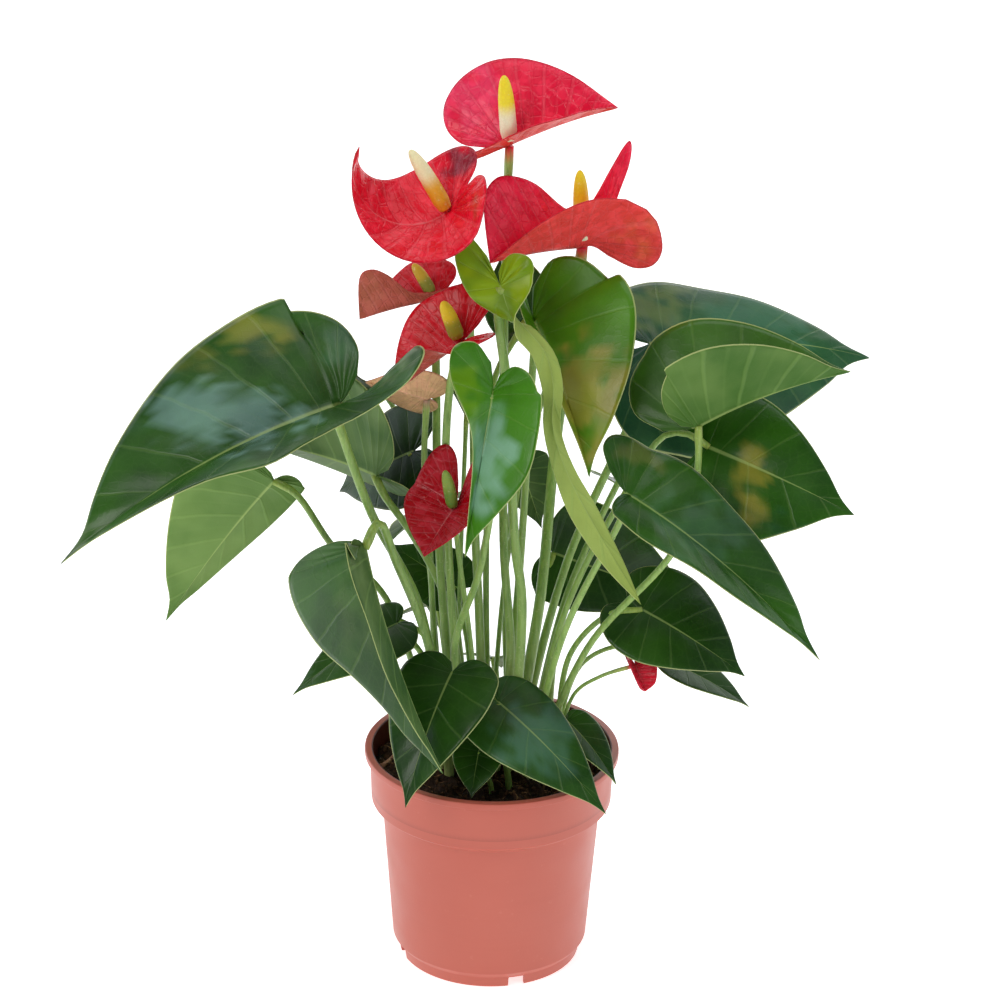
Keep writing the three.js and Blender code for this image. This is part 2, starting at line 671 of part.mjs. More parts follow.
function leafGeometry(leaf) {
  const blade = solidOf(bladeOf(leaf, leafVeins(leaf), BLADE));
  return geometryOf(largest(stemSolid(leaf).add(blade)));
}

// ---------------------------------------------------------------- spadices

// A blunt spike whose side is a close grid of small raised florets.
function spadixGeometry({ joint, spadix, girth, seat }) {
  const reach = vector(spadix);
  const base = vector(joint).add(reach.clone().setLength(seat));
  const middle = base.clone().addScaledVector(reach, 0.45).add(new THREE.Vector3(0, 0, SPADIX_BOW));
  const curve = new THREE.CatmullRomCurve3([base, middle, vector(joint).add(reach)]);
  const radiusAt = (share, step, side) => {
    const taper = Math.min(1, SPADIX_BASE + 2 * share) * Math.sqrt(Math.max(0.12, 1 - share ** 4));
    const floret = (step + side) % 2 === 0 ? FLORET : -FLORET;
    return (girth / 2) * taper * (1 + floret);
  };
  return sweep(curve, radiusAt, SPADIX_SIDES, SPADIX_STEPS);
}

// The space that a bloom's spathe and its gap take up.
function spatheSpace(bloom) {
  return solidOf(bladeOf(bloom, SPATHE_VEINS, BLADE + 2 * SPATHE_CLEAR));
}

// ---------------------------------------------------------------- the pot and the soil

// A closed body turned from a profile that starts and ends on the axis. shift moves a point
// of it up or down.
function turned(profile, sides, shift = () => 0) {
  const points = [];
  const triangles = [];
  for (const [radius, height] of profile) {
    for (let j = 0; j < sides; j += 1) {
      const turn = (2 * Math.PI * j) / sides;
      const x = radius * Math.cos(turn);
      const y = radius * Math.sin(turn);
      points.push(new THREE.Vector3(x, y, height + shift(x, y, height)));
    }
  }
  for (let i = 0; i < profile.length - 1; i += 1) {
    for (let j = 0; j < sides; j += 1) {
      const a = i * sides + j;
      const b = i * sides + ((j + 1) % sides);
      triangles.push([a, b, b + sides], [a, b + sides, a + sides]);
    }
  }
  return closedMesh(points, triangles);
}

const collarFoot = POT_HEIGHT - COLLAR_HEIGHT;
const shoulder = collarFoot - SHOULDER_DROP;
const wallFoot = FOOT_HEIGHT + FOOT_STEP;

function potGeometry() {
  const outside = [
    [0, FLOOR_UNDER], [FOOT_RADIUS - FOOT_WIDTH, FLOOR_UNDER], [FOOT_RADIUS - FOOT_WIDTH, 0], [FOOT_RADIUS, 0],
    [FOOT_RADIUS + FOOT_FLARE, FOOT_HEIGHT], [WALL_FOOT_RADIUS, wallFoot], [SHOULDER_RADIUS, shoulder],
    [COLLAR_RADIUS - COLLAR_FLARE, collarFoot], [COLLAR_RADIUS, POT_HEIGHT - LIP_DROP],
    [RIM_RADIUS, POT_HEIGHT - LIP_DROP], [RIM_RADIUS, POT_HEIGHT],
  ];
  const inside = [
    [COLLAR_RADIUS - WALL, POT_HEIGHT], [COLLAR_RADIUS - COLLAR_FLARE - WALL, collarFoot + 1],
    [SHOULDER_RADIUS - WALL, shoulder], [WALL_FOOT_RADIUS - WALL, FLOOR_TOP], [0, FLOOR_TOP],
  ];
  let pot = solidOf(turned([...outside, ...inside], POT_SIDES));
  for (let i = 0; i < DRAIN_HOLES; i += 1) {
    const turn = radians((360 * i) / DRAIN_HOLES);
    const hole = new THREE.CylinderGeometry(DRAIN_HOLE_RADIUS, DRAIN_HOLE_RADIUS, 4 * FLOOR_TOP, DRAIN_SIDES);
    hole.rotateX(Math.PI / 2).translate(DRAIN_RING_RADIUS, 0, 0).rotateZ(turn);
    pot = pot.subtract(solidOf(hole));
  }
  for (let i = 0; i < NOTCHES; i += 1) {
    const turn = radians(NOTCH_TURN - 90 + (360 * i) / NOTCHES);
    const notch = new THREE.BoxGeometry(2 * FOOT_WIDTH + 4, NOTCH_WIDTH, 2 * NOTCH_HEIGHT);
    notch.translate(FOOT_RADIUS, 0, 0).rotateZ(turn);
    pot = pot.subtract(solidOf(notch));
  }
  return geometryOf(pot);
}

// The height of the soil's lumps, which bank up at the back of the pot.
function lump(x, y) {
  const rough = Math.sin(0.31 * x + 1) * Math.cos(0.27 * y) + 0.6 * Math.sin(0.71 * x + 0.53 * y);
  const bank = SOIL_BANK * THREE.MathUtils.smoothstep(y + 0.3 * x, 20, 45);
  return SOIL_ROUGH * rough + bank;
}

// The soil fills the pot to below its rim, with a plain hole round each stem.
function soilGeometry() {
  const rings = [...SOIL_RINGS].reverse().map((radius) => [radius, SOIL_TOP]);
  const profile = [
    [0, FLOOR_TOP + GAP], [WALL_FOOT_RADIUS - WALL - 2 * GAP, FLOOR_TOP + GAP],
    [SHOULDER_RADIUS - WALL - GAP - 0.1, shoulder], [COLLAR_RADIUS - COLLAR_FLARE - WALL - GAP - 0.1, collarFoot + 1],
    [COLLAR_RADIUS - WALL - 2 * GAP - 0.3, SOIL_TOP - 1], ...rings, [0, SOIL_TOP],
  ];
  const shift = (x, y, height) => (height === SOIL_TOP ? lump(x, y) : 0);
  let soil = solidOf(turned(profile, POT_SIDES, shift));
  for (const plant of [...LEAVES, ...BLOOMS]) {
    soil = soil.subtract(stemSolid(plant, STEM_HOLE));
  }
  return geometryOf(largest(soil));
}

// ---------------------------------------------------------------- assembling

const plant = new THREE.Group();

function coloured(color, roughness) {
  return new THREE.MeshStandardMaterial({ color, roughness, metalness: 0 });
}

function addMesh(name, geometry, material) {
  const mesh = new THREE.Mesh(geometry, material);
  mesh.name = name;
  plant.add(mesh);
}

addMesh('pot', potGeometry(), coloured(0xb4573f, 0.45));
addMesh('soil', soilGeometry(), coloured(0x33241b, 0.95));
for (const leaf of LEAVES) {
  addMesh(leaf.name, leafGeometry(leaf), coloured(0x2c6a26, 0.35));
}
for (const bloom of BLOOMS) {
  const stem = largest(stemSolid(bloom).subtract(spatheSpace(bloom)));
  addMesh(`${bloom.name}_stem`, geometryOf(stem), coloured(0x6f9440, 0.4));
  addMesh(`${bloom.name}_spathe`, bladeOf(bloom, SPATHE_VEINS, BLADE), coloured(0xc8162e, 0.25));
  if (bloom.spadix) {
    addMesh(`${bloom.name}_spadix`, spadixGeometry(bloom), coloured(0xf0cf50, 0.6));
  }
}

plant.position.x = AXIS_X;

export default plant;
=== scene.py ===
"""Blender 4.5 scene of a potted anthurium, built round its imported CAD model.

Every leaf, spathe, spadix and stem is grown again from the same driving values as its solid,
with smooth outlines, relief along the veins and a thin edge. Plant sizes are millimetres
from the pot's axis, and are turned into the frame's metres when a mesh is made.
"""

import math
import random

import bmesh
import bpy
import numpy as np
from mathutils import Matrix, Vector, noise

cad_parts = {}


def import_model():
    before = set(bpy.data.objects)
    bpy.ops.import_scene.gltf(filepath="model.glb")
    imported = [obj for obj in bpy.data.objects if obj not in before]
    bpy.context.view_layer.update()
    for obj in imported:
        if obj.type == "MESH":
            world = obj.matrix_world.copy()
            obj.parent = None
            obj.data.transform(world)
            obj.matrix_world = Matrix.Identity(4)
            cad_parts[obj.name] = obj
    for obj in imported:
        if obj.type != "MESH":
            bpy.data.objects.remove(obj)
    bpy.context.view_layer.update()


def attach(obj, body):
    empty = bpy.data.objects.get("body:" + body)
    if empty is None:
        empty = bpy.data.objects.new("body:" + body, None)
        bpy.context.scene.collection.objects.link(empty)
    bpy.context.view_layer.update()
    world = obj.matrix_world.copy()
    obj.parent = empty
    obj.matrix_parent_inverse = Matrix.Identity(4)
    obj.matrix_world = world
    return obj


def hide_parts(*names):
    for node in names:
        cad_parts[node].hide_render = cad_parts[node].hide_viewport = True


MM = 0.001
AXIS_X = 9.5

# ---------------------------------------------------------------- the pot, mm

POT_HEIGHT = 106
RIM_RADIUS = 60
LIP_DROP = 3.2
COLLAR_RADIUS = 57.6
COLLAR_HEIGHT = 25.5
COLLAR_FOOT = POT_HEIGHT - COLLAR_HEIGHT
SHOULDER_RADIUS = 51.6
SHOULDER_DROP = 3.4
WALL_FOOT_RADIUS = 46.2
FOOT_RADIUS = 42.8
FOOT_HEIGHT = 5.5
FOOT_STEP = 3
FOOT_WIDTH = 2
WALL = 1.3
FLOOR_TOP = 8
FLOOR_UNDER = 6.5
FLARE = 0.8
POT_SIDES = 160
EDGE_RADIUS = 0.5
DRAIN_HOLES = 6
DRAIN_HOLE_RADIUS = 3.4
DRAIN_RING_RADIUS = 28
NOTCHES = 4
NOTCH_WIDTH = 8
NOTCH_HEIGHT = 5
NOTCH_TURN = 18

# ---------------------------------------------------------------- the soil, mm

SOIL_TOP = 97
INNER_WALL_FROM = 85
SOIL_ROUGH = 1.5
SOIL_BANK = 4
SOIL_RADIUS = 55.3
SOIL_RINGS = 70
SOIL_SIDES = 200
SOIL_EDGE_DROP = 1.5
SOIL_GAP = 1
SOIL_SEED = 7
CRUMBS = 900
CRUMB_REACH = 53
FIBRES = 90
FIBRE_REACH = 50
FIBRE_STEP = 2.2
ROOT_PATH = [(-52, -9), (-51, -3), (-47, 4), (-44, 11), (-38, 15)]
ROOT_WIDTH = 1.3
ROOT_STEPS = 24

# ---------------------------------------------------------------- stems and blades

STEM_DEPTH = 13
STEM_SIDES = 14
STEM_STEPS = 40
BASE_SWELL = 1.2
KNEE_LENGTH = 11
KNEE_SWELL = 0.16
GROOVE = 0.03
LOBE_TURN = 0.12
HALF_WIDTH = 0.4
FOLD_TURN = 0.5
TWIST_END = 0.16
COURSE_STEPS = 200
ARC_STEPS = 8
RIPPLES = 2.2
LARGE_BLADE = 80
ROWS_PER_VEIN = 5
ACROSS = 14
BLADE = 0.6
LEAF_QUILT = 0.005
SPATHE_BLADE = 0.7
SPATHE_QUILT = 0.014
SPATHE_CLEAR = 0.8
MIDRIB_WIDTH = 0.02
MIDRIB_HEIGHT = 0.75
MIDRIB_SPREAD = 1.3
SPADIX_BOW = 0.6
SPADIX_BASE = 0.75
SPADIX_SIDES = 60
SPADIX_STEPS = 90
FLORET_PITCH = 1.15
FLORET_HEIGHT = 0.22

# One half of a blade, from the notch at its base round to the tip. Each row is a vein: how
# far along the blade and out to the side it ends, and where it leaves the midrib, all as
# shares of the blade's length.
LEAF_VEINS = [
    (-0.17, 0.035, -0.03),
    (-0.255, 0.1, -0.03),
    (-0.265, 0.2, -0.03),
    (-0.19, 0.3, -0.03),
    (-0.05, 0.37, 0),
    (0.12, 0.395, 0.04),
    (0.3, 0.365, 0.13),
    (0.48, 0.295, 0.27),
    (0.65, 0.21, 0.44),
    (0.79, 0.125, 0.62),
    (0.89, 0.045, 0.8),
    (1, 0, 1),
]

SMALL_LEAF_VEINS = [
    (-0.17, 0.035, -0.03),
    (-0.265, 0.14, -0.03),
    (-0.22, 0.27, -0.03),
    (-0.03, 0.375, 0),
    (0.22, 0.385, 0.08),
    (0.48, 0.295, 0.27),
    (0.72, 0.16, 0.5),
    (0.88, 0.05, 0.75),
    (1, 0, 1),
]

NARROW_VEINS = [
    (-0.09, 0.008, -0.01),
    (-0.15, 0.035, -0.01),
    (-0.165, 0.07, -0.01),
    (-0.11, 0.105, -0.01),
    (-0.02, 0.105, 0),
    (0.07, 0.065, 0.02),
    (0.16, 0.045, 0.1),
    (0.28, 0.036, 0.22),
    (0.42, 0.026, 0.36),
    (0.56, 0.034, 0.5),
    (0.7, 0.05, 0.62),
    (0.86, 0.038, 0.78),
    (1, 0, 1),
]

SPATHE_VEINS = [
    (-0.2, 0.05, -0.02),
    (-0.37, 0.14, -0.02),
    (-0.43, 0.28, -0.02),
    (-0.35, 0.43, -0.02),
    (-0.14, 0.54, -0.02),
    (0.12, 0.57, 0.04),
    (0.34, 0.52, 0.15),
    (0.54, 0.41, 0.32),
    (0.72, 0.27, 0.52),
    (0.88, 0.11, 0.75),
    (1, 0, 1),
]


def leaf(name, joint, tip, foot, way, thick, **own):
    """A leaf's driving values: its own, and the usual ones where it gives none."""
    usual = {"roll": 0, "fold": [10, 10], "curl": [-10, -10], "bend": 20, "lift": [10, 10]}
    given = {"name": name, "joint": joint, "tip": tip, "foot": foot, "way": way, "thick": thick}
    return {**usual, **given, **own}


def bloom(*given, **own):
    """As for a leaf, with a bloom's usual values."""
    return leaf(*given, **{"curl": [0, 0], "bend": 10, **own})


# joint: where the stem meets the blade. tip: the blade's tip. foot and way: where the stem
# leaves the soil and what it passes through. thick: the stem. roll: the blade's turn about
# the line from joint to tip. fold and curl: how far each half, left then right, is raised at
# the midrib and bends on towards its edge. tip_fold: the fold towards the tip. bend: how far
# the midrib arches. lift and lobe: how far the base lobes rise, and how long they are. wide:
# width against the plain outline. wave: how high the blade ripples. course: what the midrib
# passes through, turning by twist on its way. shape: how far each half departs from the
# plain outline at each vein; an empty row keeps to it. narrow: a young leaf's slender
# outline. Degrees and millimetres. The first five after the name are joint, tip, foot, way
# and thick.
LEAVES = [
    leaf("leaf_01_left_large", [-74, -20, 286], [-195, -60, 224], [-24, -4],
        [[-34, -6, 179], [-57, -12, 231], [-71, -19, 276]], 4.2, fold=[5, 46], tip_fold=[18, 38],
        curl=[-10, -20], bend=25, lift=[48, 28], lobe=[1.36, 0.75], wide=[1.05, 1.12], wave=1,
        shape=[
            [4, 2, 1.4, 0.9, 0.4, 0.5, 0.8, 0.8, 0.75, 0.7, 0.7, 1],
            [1, 1, 1, 1, 1, 1, 1, 1, 0.95, 0.8, 0.6, 1],
        ]),
    leaf("leaf_02_left_hanging", [-103, 15, 234], [-156, 35, 152], [-27, 6],
        [[-51, 18, 174], [-75, 14, 201], [-93, 13, 229]], 3.2, roll=60, fold=[10, 20],
        curl=[-15, -15], lift=[20, 20], lobe=0.2, wide=[0.95, 0.45]),
    leaf("leaf_03_front_left", [-59, -35, 223], [-22, -80, 132], [-20, -14],
        [[-31, -18, 170], [-45, -25, 212], [-53, -30, 234]], 4, roll=80, fold=[60, 5],
        lift=[30, 30], lobe=0.3, wide=[0.9, 1.3], wave=1,
        shape=[[], [1, 1, 1, 1, 1, 1, 0.9, 0.72, 0.6, 0.65, 0.9, 1]]),
    leaf("leaf_04_low_left", [-46, -1, 169], [-93, -16, 139], [-20, 8], [[-33, 1, 152]], 2.8,
        roll=-8, fold=[5, 10], curl=[-15, -15], lobe=0.5, wide=[1, 0.8]),
    leaf("leaf_05_low_front", [-19, -32, 159], [-39, -72, 110], [-6, -25], [[-13, -21, 138]], 3,
        roll=5, fold=[8, 8], curl=[-15, -15], bend=25, lobe=0.5, wide=1),
    leaf("leaf_06_low_right", [3, -27, 142], [53, -66, 105], [8, -24], [[4, -24, 124]], 3,
        roll=20, fold=[5, -3], curl=[-15, -15], bend=25, lobe=[0.5, 0.6], wide=[0.7, 0.8]),
    leaf("leaf_07_rim_right", [35, -19, 129], [58, -42, 108], [26, -18], [[31, -18, 116]], 2.6,
        fold=[10, 15], curl=[-15, -15], bend=25, lobe=0.4, wide=0.85),
    leaf("leaf_08_soil_front", [-6, -34, 120], [-9, -50, 104], [0, -31], [[-3, -33, 110]], 2.4,
        lift=[0, 0], wide=1.3),
    leaf("leaf_09_young_long", [1, -22, 346], [65, -93, 224], [9, -9],
        [[13, -10, 185], [9, -11, 218], [5, -12, 290], [0, -16, 332]], 4.6, roll=60, fold=[8, 8],
        curl=[-5, -5], lift=[0, 0], lobe=[0.45, 1.05], wide=[1, 0.9], narrow=True, twist=125,
        course=[
            [6, -25, 334], [13, -28, 327], [21, -34, 319], [25, -41, 306], [25, -50, 290],
            [31, -61, 274], [43, -75, 255],
        ]),
    leaf("leaf_10_centre", [-2, -50, 305], [-13, -86, 242], [-10, -16],
        [[-18, -18, 165], [-7, -22, 206], [0, -36, 266]], 3.4, roll=-10, fold=[30, 20],
        tip_fold=[30, 60], lift=[30, 30], lobe=[0.8, 1.2], wide=1,
        shape=[
            [0.95, 0.95, 0.95, 0.9, 0.95, 1.15, 1.1, 0.9, 1],
            [1.1, 1.1, 1.05, 0.7, 0.3, 0.22, 0.22, 0.4, 1],
        ]),
    leaf("leaf_11_bright", [17, 8, 316], [42, -45, 264], [6, 4], [[12, 6, 200], [15, 6, 270]],
        3.6, fold=[45, 45], bend=25, lift=[28, 30], lobe=1.35, wide=[1.5, 0.35], wave=1),
    leaf("leaf_12_back_right", [73, 42, 295], [176, 75, 276], [14, 18],
        [[34, 26, 190], [67, 38, 270]], 4, fold=[25, -45], curl=[-15, -15], lift=[15, 15],
        lobe=0.8, wide=[1, 1.3], wave=1),
    leaf("leaf_13_right_pale", [91, -28, 283], [159, -20, 307], [22, -5],
        [[44, -14, 165], [83, -36, 228], [91, -28, 257]], 3.2, fold=[50, 70], lift=[8, 8],
        lobe=[1.3, 0.6], wide=[1.7, 1.6]),
    leaf("leaf_14_right", [97, -5, 263], [163, -30, 241], [18, 3],
        [[33, 0, 176], [58, -4, 236], [77, -4, 268], [88, -5, 269]], 3, roll=48, fold=[5, 5],
        curl=[-15, -15], lift=[15, 15], lobe=[1, 0.3], wide=[1.1, 1.6]),
    leaf("leaf_15_front_right", [61, -50, 257], [146, -85, 194], [17, -15],
        [[26, -18, 149], [35, -28, 186], [54, -46, 238]], 3.2, fold=[38, 5], curl=[-15, -10],
        lift=[20, 20], lobe=[0.9, 0.15], wide=[0.66, 0.55], wave=1),
    leaf("leaf_16_right_low", [69, 0, 178], [117, -20, 154], [31, -1],
        [[36, -3, 156], [54, -3, 177]], 2.8, roll=30, fold=[5, 5], curl=[-10, -20], lift=[0, 10],
        wide=[1.25, 1.1]),
    leaf("leaf_17_right_small", [88, 14, 142], [121, 5, 126], [30, 9],
        [[42, 10, 145], [64, 12, 154]], 2.2, roll=5, bend=15, lift=[0, 0], wide=0.95),
    leaf("leaf_18_behind_right", [28, 50, 184], [97, 54, 158], [15, 33], [[20, 41, 150]], 3,
        roll=80, fold=[15, 15], lift=[20, 20], lobe=0.4, wide=[1.1, 0.8]),
    leaf("leaf_19_behind_left", [-56, 4, 243], [-128, 60, 238], [-12, 3],
        [[-23, 2, 182], [-39, 4, 214], [-51, 4, 232]], 3.6, roll=80, fold=[5, 40], lobe=0.6,
        wide=[1.4, 0.6]),
    leaf("leaf_20_dark_left", [-40, 28, 244], [-74, 52, 213], [-11, 11],
        [[-20, 14, 180], [-30, 30, 220]], 3.4, roll=-60, fold=[5, 5], lift=[5, 5], lobe=1.3,
        wide=1.25),
    leaf("leaf_21_inner_left", [-20, 32, 175], [-50, 40, 192], [-9, 20], [[-13, 27, 150]], 2.4,
        roll=-60, wide=1.1),
    leaf("leaf_22_inner_small", [-27, 44, 160], [-22, 52, 133], [-19, 27], [[-24, 36, 142]], 2.2,
        wide=0.8),
    leaf("leaf_23_inner_hanging", [12, 34, 236], [22, 42, 200], [0, 24], [[4, 27, 170]], 2.4,
        roll=-65, lobe=0.5, wide=0.9),
    leaf("leaf_24_back_upright", [13, 49, 303], [5, 53, 342], [-2, 15],
        [[-4, 24, 200], [-2, 38, 275]], 3, roll=-80, lift=[30, 30], wide=1.2),
    leaf("leaf_25_back_grey", [30, 62, 292], [0, 82, 304], [8, 27], [[6, 40, 200], [22, 58, 262]],
        2.8, roll=60, lift=[30, 30], wide=1),
    leaf("leaf_26_right_glossy", [66, 40, 244], [122, 70, 236], [20, 25],
        [[34, 30, 170], [60, 38, 232]], 3.2, roll=20, lift=[30, 30], lobe=0.3, wide=0.9),
    leaf("leaf_27_left_inner", [-62, 22, 280], [-88, 40, 290], [-24, 21],
        [[-31, 26, 190], [-38, 47, 232], [-50, 59, 256]], 2.6, roll=40, lift=[20, 20], wide=1),
    leaf("leaf_28_centre_small", [-14, 20, 268], [-26, 30, 282], [-17, 16], [[-16, 20, 190]], 2.2,
        roll=60, wide=1),
    leaf("leaf_29_back_low", [-49, 54, 147], [-68, 86, 118], [-16, 33], [[-32, 46, 140]], 2.8,
        curl=[-15, -15], bend=25, lift=[15, 15], wide=1.2),
    leaf("leaf_30_back_centre", [0, 58, 124], [4, 93, 102], [2, 35], [[2, 47, 117]], 2.8,
        curl=[-15, -15], bend=25, lift=[15, 15], lobe=0.7, wide=1.1),
    leaf("leaf_31_back_right", [66, 58, 212], [104, 94, 176], [27, 33],
        [[32, 56, 142], [52, 62, 190]], 3, curl=[-15, -15], bend=25, lift=[15, 15], wide=1.1),
    leaf("leaf_32_back_left", [-28, 66, 200], [-52, 94, 167], [-8, 31],
        [[-14, 44, 150], [-24, 60, 186]], 3, curl=[-15, -15], bend=25, lift=[15, 15], wide=0.8),
]

# As for the leaves, with the spadix's tip from the joint, its girth, and how far from the
# joint it starts.
BLOOMS = [
    bloom("bloom_1_top", [4, 33, 394], [53, 43, 409], [2, -5],
        [[8, -3, 151], [4, 0, 213], [3, 35, 350]], 4, fold=[52, 42], tip_fold=[52, 32],
        curl=[-10, -10], bend=15, lift=[0, 0], lobe=[1, 1.3], wide=[1.4, 1],
        shape=[[], [0.6, 0.6, 0.6, 0.55, 0.4, 0.4, 0.7, 1, 1, 1, 1]], spadix=[-3, -4, 34],
        girth=7.6, seat=2.7),
    bloom("bloom_2_left", [-23, -14, 378], [-62, -20, 410], [-4, 7],
        [[-7, 5, 175], [-9, 4, 211], [-12, 12, 300], [-16, 6, 345]], 4, fold=[-10, 25],
        curl=[0, 10], bend=-155, lift=[30, 10], lobe=[0.85, 0.9], wide=[0.85, 0.75],
        spadix=[-17, -3, 30], girth=7.4, seat=2.2),
    bloom("bloom_3_right", [38, 30, 347], [-4, 5, 347], [11, 8],
        [[22, 14, 180], [27, 30, 241], [36, 38, 320]], 5, fold=[58, 60], lift=[-45, 60],
        lobe=[1.5, 2.6], wide=[1.2, 1.2],
        shape=[[], [0.8, 0.8, 0.7, 0.5, 0.4, 0.55, 1, 1.5, 2.3, 4.2, 1]], spadix=[-2, -2, 37],
        girth=7.4, seat=3.4),
    bloom("bloom_4_back_left", [-29, 18, 325], [-63, 8, 318], [-17, -2],
        [[-25, -5, 200], [-27, 2, 240], [-28, 14, 285]], 4, fold=[60, 38], tip_fold=[80, 38],
        lift=[10, 20], wide=[0.8, 1],
        shape=[
            [0.3, 0.3, 0.3, 0.3, 0.3, 0.3, 0.5, 1.5, 3, 6.5, 1],
            [1, 1, 1, 1, 1, 1, 0.9, 0.8, 0.9, 1.5, 1],
        ], spadix=[-10, -2, 17], girth=5.6, seat=3.4),
    bloom("bloom_5_front_red", [-17, -8, 313], [-47, -12, 290], [-14, -9],
        [[-20, -10, 190], [-23, -9, 260], [-21, -6, 294]], 3.8, roll=-30, fold=[40, 25],
        tip_fold=[88, 25], lift=[-15, 5], lobe=[0.9, 1.6], wide=1.2,
        shape=[[1, 1, 1, 0.9, 0.8, 0.75, 0.7, 0.7, 0.8, 1, 1], []], spadix=[-8, -2, 21], girth=7,
        seat=3.4),
    bloom("bloom_6_small", [-19, -24, 238], [-32, -41, 222], [-4, -18],
        [[-11, -13, 169], [-16, -12, 206]], 2.6, fold=[20, 20], lift=[40, 40], lobe=2.5,
        wide=[1.2, 1.5], spadix=[-4, -4, 21], girth=5.6, seat=2.2),
    bloom("bloom_7_bud", [66, -12, 155], [71, -19, 145], [30, -12],
        [[38, -9, 138], [50, -10, 148]], 1.8, fold=[30, 30], curl=[20, 20], lift=[0, 0], wide=1.4,
        shape=[[1, 1, 1, 1, 1, 1, 1, 1.1, 1.4, 2.4, 1], [1, 1, 1, 1, 1, 1, 1, 1.1, 1.4, 2.4, 1]]),
    bloom("bloom_8_faded", [-32, 0, 283], [-60, -4, 292], [-26, 12],
        [[-30, 9, 200], [-33, 3, 250]], 3, roll=60, fold=[10, 10], lift=[10, 10], lobe=0.6,
        wide=0.9, spadix=[-5, 7, 9], girth=5.4, seat=2.6),
]

# ---------------------------------------------------------------- colours, as RRGGBB

LEAF_GREEN = "1B430D"
GOLD = "96933A"
STEM_COLOUR = "8DAE54"
STEM_FOOT = "B4C07A"
KNEE_COLOUR = "A9BC55"
SPADIX_TIP_FROM = 0.35
SPADIX_TIP_TO = 0.62
PATCH_GRAIN = 0.13
PATCH_RAGGED = 0.9

# A leaf's own green, its back's, and its patches, gold ones and blue-grey ones that are painted
# reflections of the lamps' sheen on the glossy face: where each is, how far it reaches along each
# axis, its colour and its strength.
LEAF_LOOKS = {
    "leaf_01_left_large": {
        "green": "255017",
        "patches": [
            ([-115, -5, 312], (22, 50, 9), GOLD, 0.7),
            ([-138, -20, 300], (14, 40, 7), GOLD, 0.4),
            # This patch and the next are painted reflections, the lamps' blue-grey sheen on the
            # glossy face.
            ([-125, -25, 283], (50, 40, 13), "7FA79C", 0.75),
            ([-66, -2, 318], (20, 40, 26), "3F6A52", 0.5),
            ([-186, -57, 230], (16, 20, 14), "6E7C62", 0.6),
            ([-48, -36, 322], (22, 20, 20), "7F9468", 0.6),
        ],
    },
    "leaf_02_left_hanging": {"green": "4F7434", "under": "648A3E"},
    "leaf_03_front_left": {
        "green": "255014",
        "patches": [([-62, -50, 200], (16, 30, 30), "4F6C34", 0.5)],
    },
    "leaf_06_low_right": {
        "green": "1D4716",
        # The blue-grey patch is a painted reflection of the lamps on the glossy face.
        "patches": [([22, -44, 132], (24, 24, 20), "4C7468", 0.7)],
    },
    "leaf_09_young_long": {
        "green": "7FA410", "under": "A9BC5A",
        "patches": [([1, -20, 350], (22, 20, 14), "A9C80C", 0.7)],
    },
    "leaf_10_centre": {
        "green": "3F800E",
        "patches": [
            # A painted reflection: the lamps' blue-grey sheen on the glossy face.
            ([-4, -66, 280], (17, 24, 26), "86B59A", 0.9),
            ([-16, -50, 300], (12, 20, 22), "7AA610", 0.6),
        ],
    },
    "leaf_11_bright": {
        "green": "4C8604",
        "patches": [([42, -24, 290], (27, 50, 30), "A39A38", 0.9)],
    },
    "leaf_12_back_right": {
        "green": "1F5038",
        "patches": [
            ([75, 50, 308], (30, 60, 12), "7E8A4C", 0.5),
            # A painted reflection: the lamps' blue-grey sheen on the glossy face.
            ([120, 60, 296], (40, 60, 16), "3F7464", 0.5),
        ],
    },
    "leaf_13_right_pale": {"green": "3A661A", "under": "3F6C1C"},
    "leaf_14_right": {
        "green": "1C4E05",
        "patches": [
            ([116, -12, 246], (12, 40, 20), "A08F30", 0.7),
            # A painted reflection: the lamps' blue-grey sheen on the glossy face.
            ([132, -16, 232], (16, 40, 16), "2F6650", 0.4),
        ],
    },
    "leaf_15_front_right": {
        "green": "22500F",
        "patches": [
            # A painted reflection: the lamps' blue-grey sheen on the glossy face.
            ([92, -56, 246], (30, 30, 16), "46704E", 0.6),
            ([66, -44, 274], (14, 20, 12), "6C6E3A", 0.6),
        ],
    },
    "leaf_19_behind_left": {"green": "3A6028"},
    # This darker green is painted shade: the leaf sits in deep shadow.
    "leaf_20_dark_left": {"green": "16300E"},
}

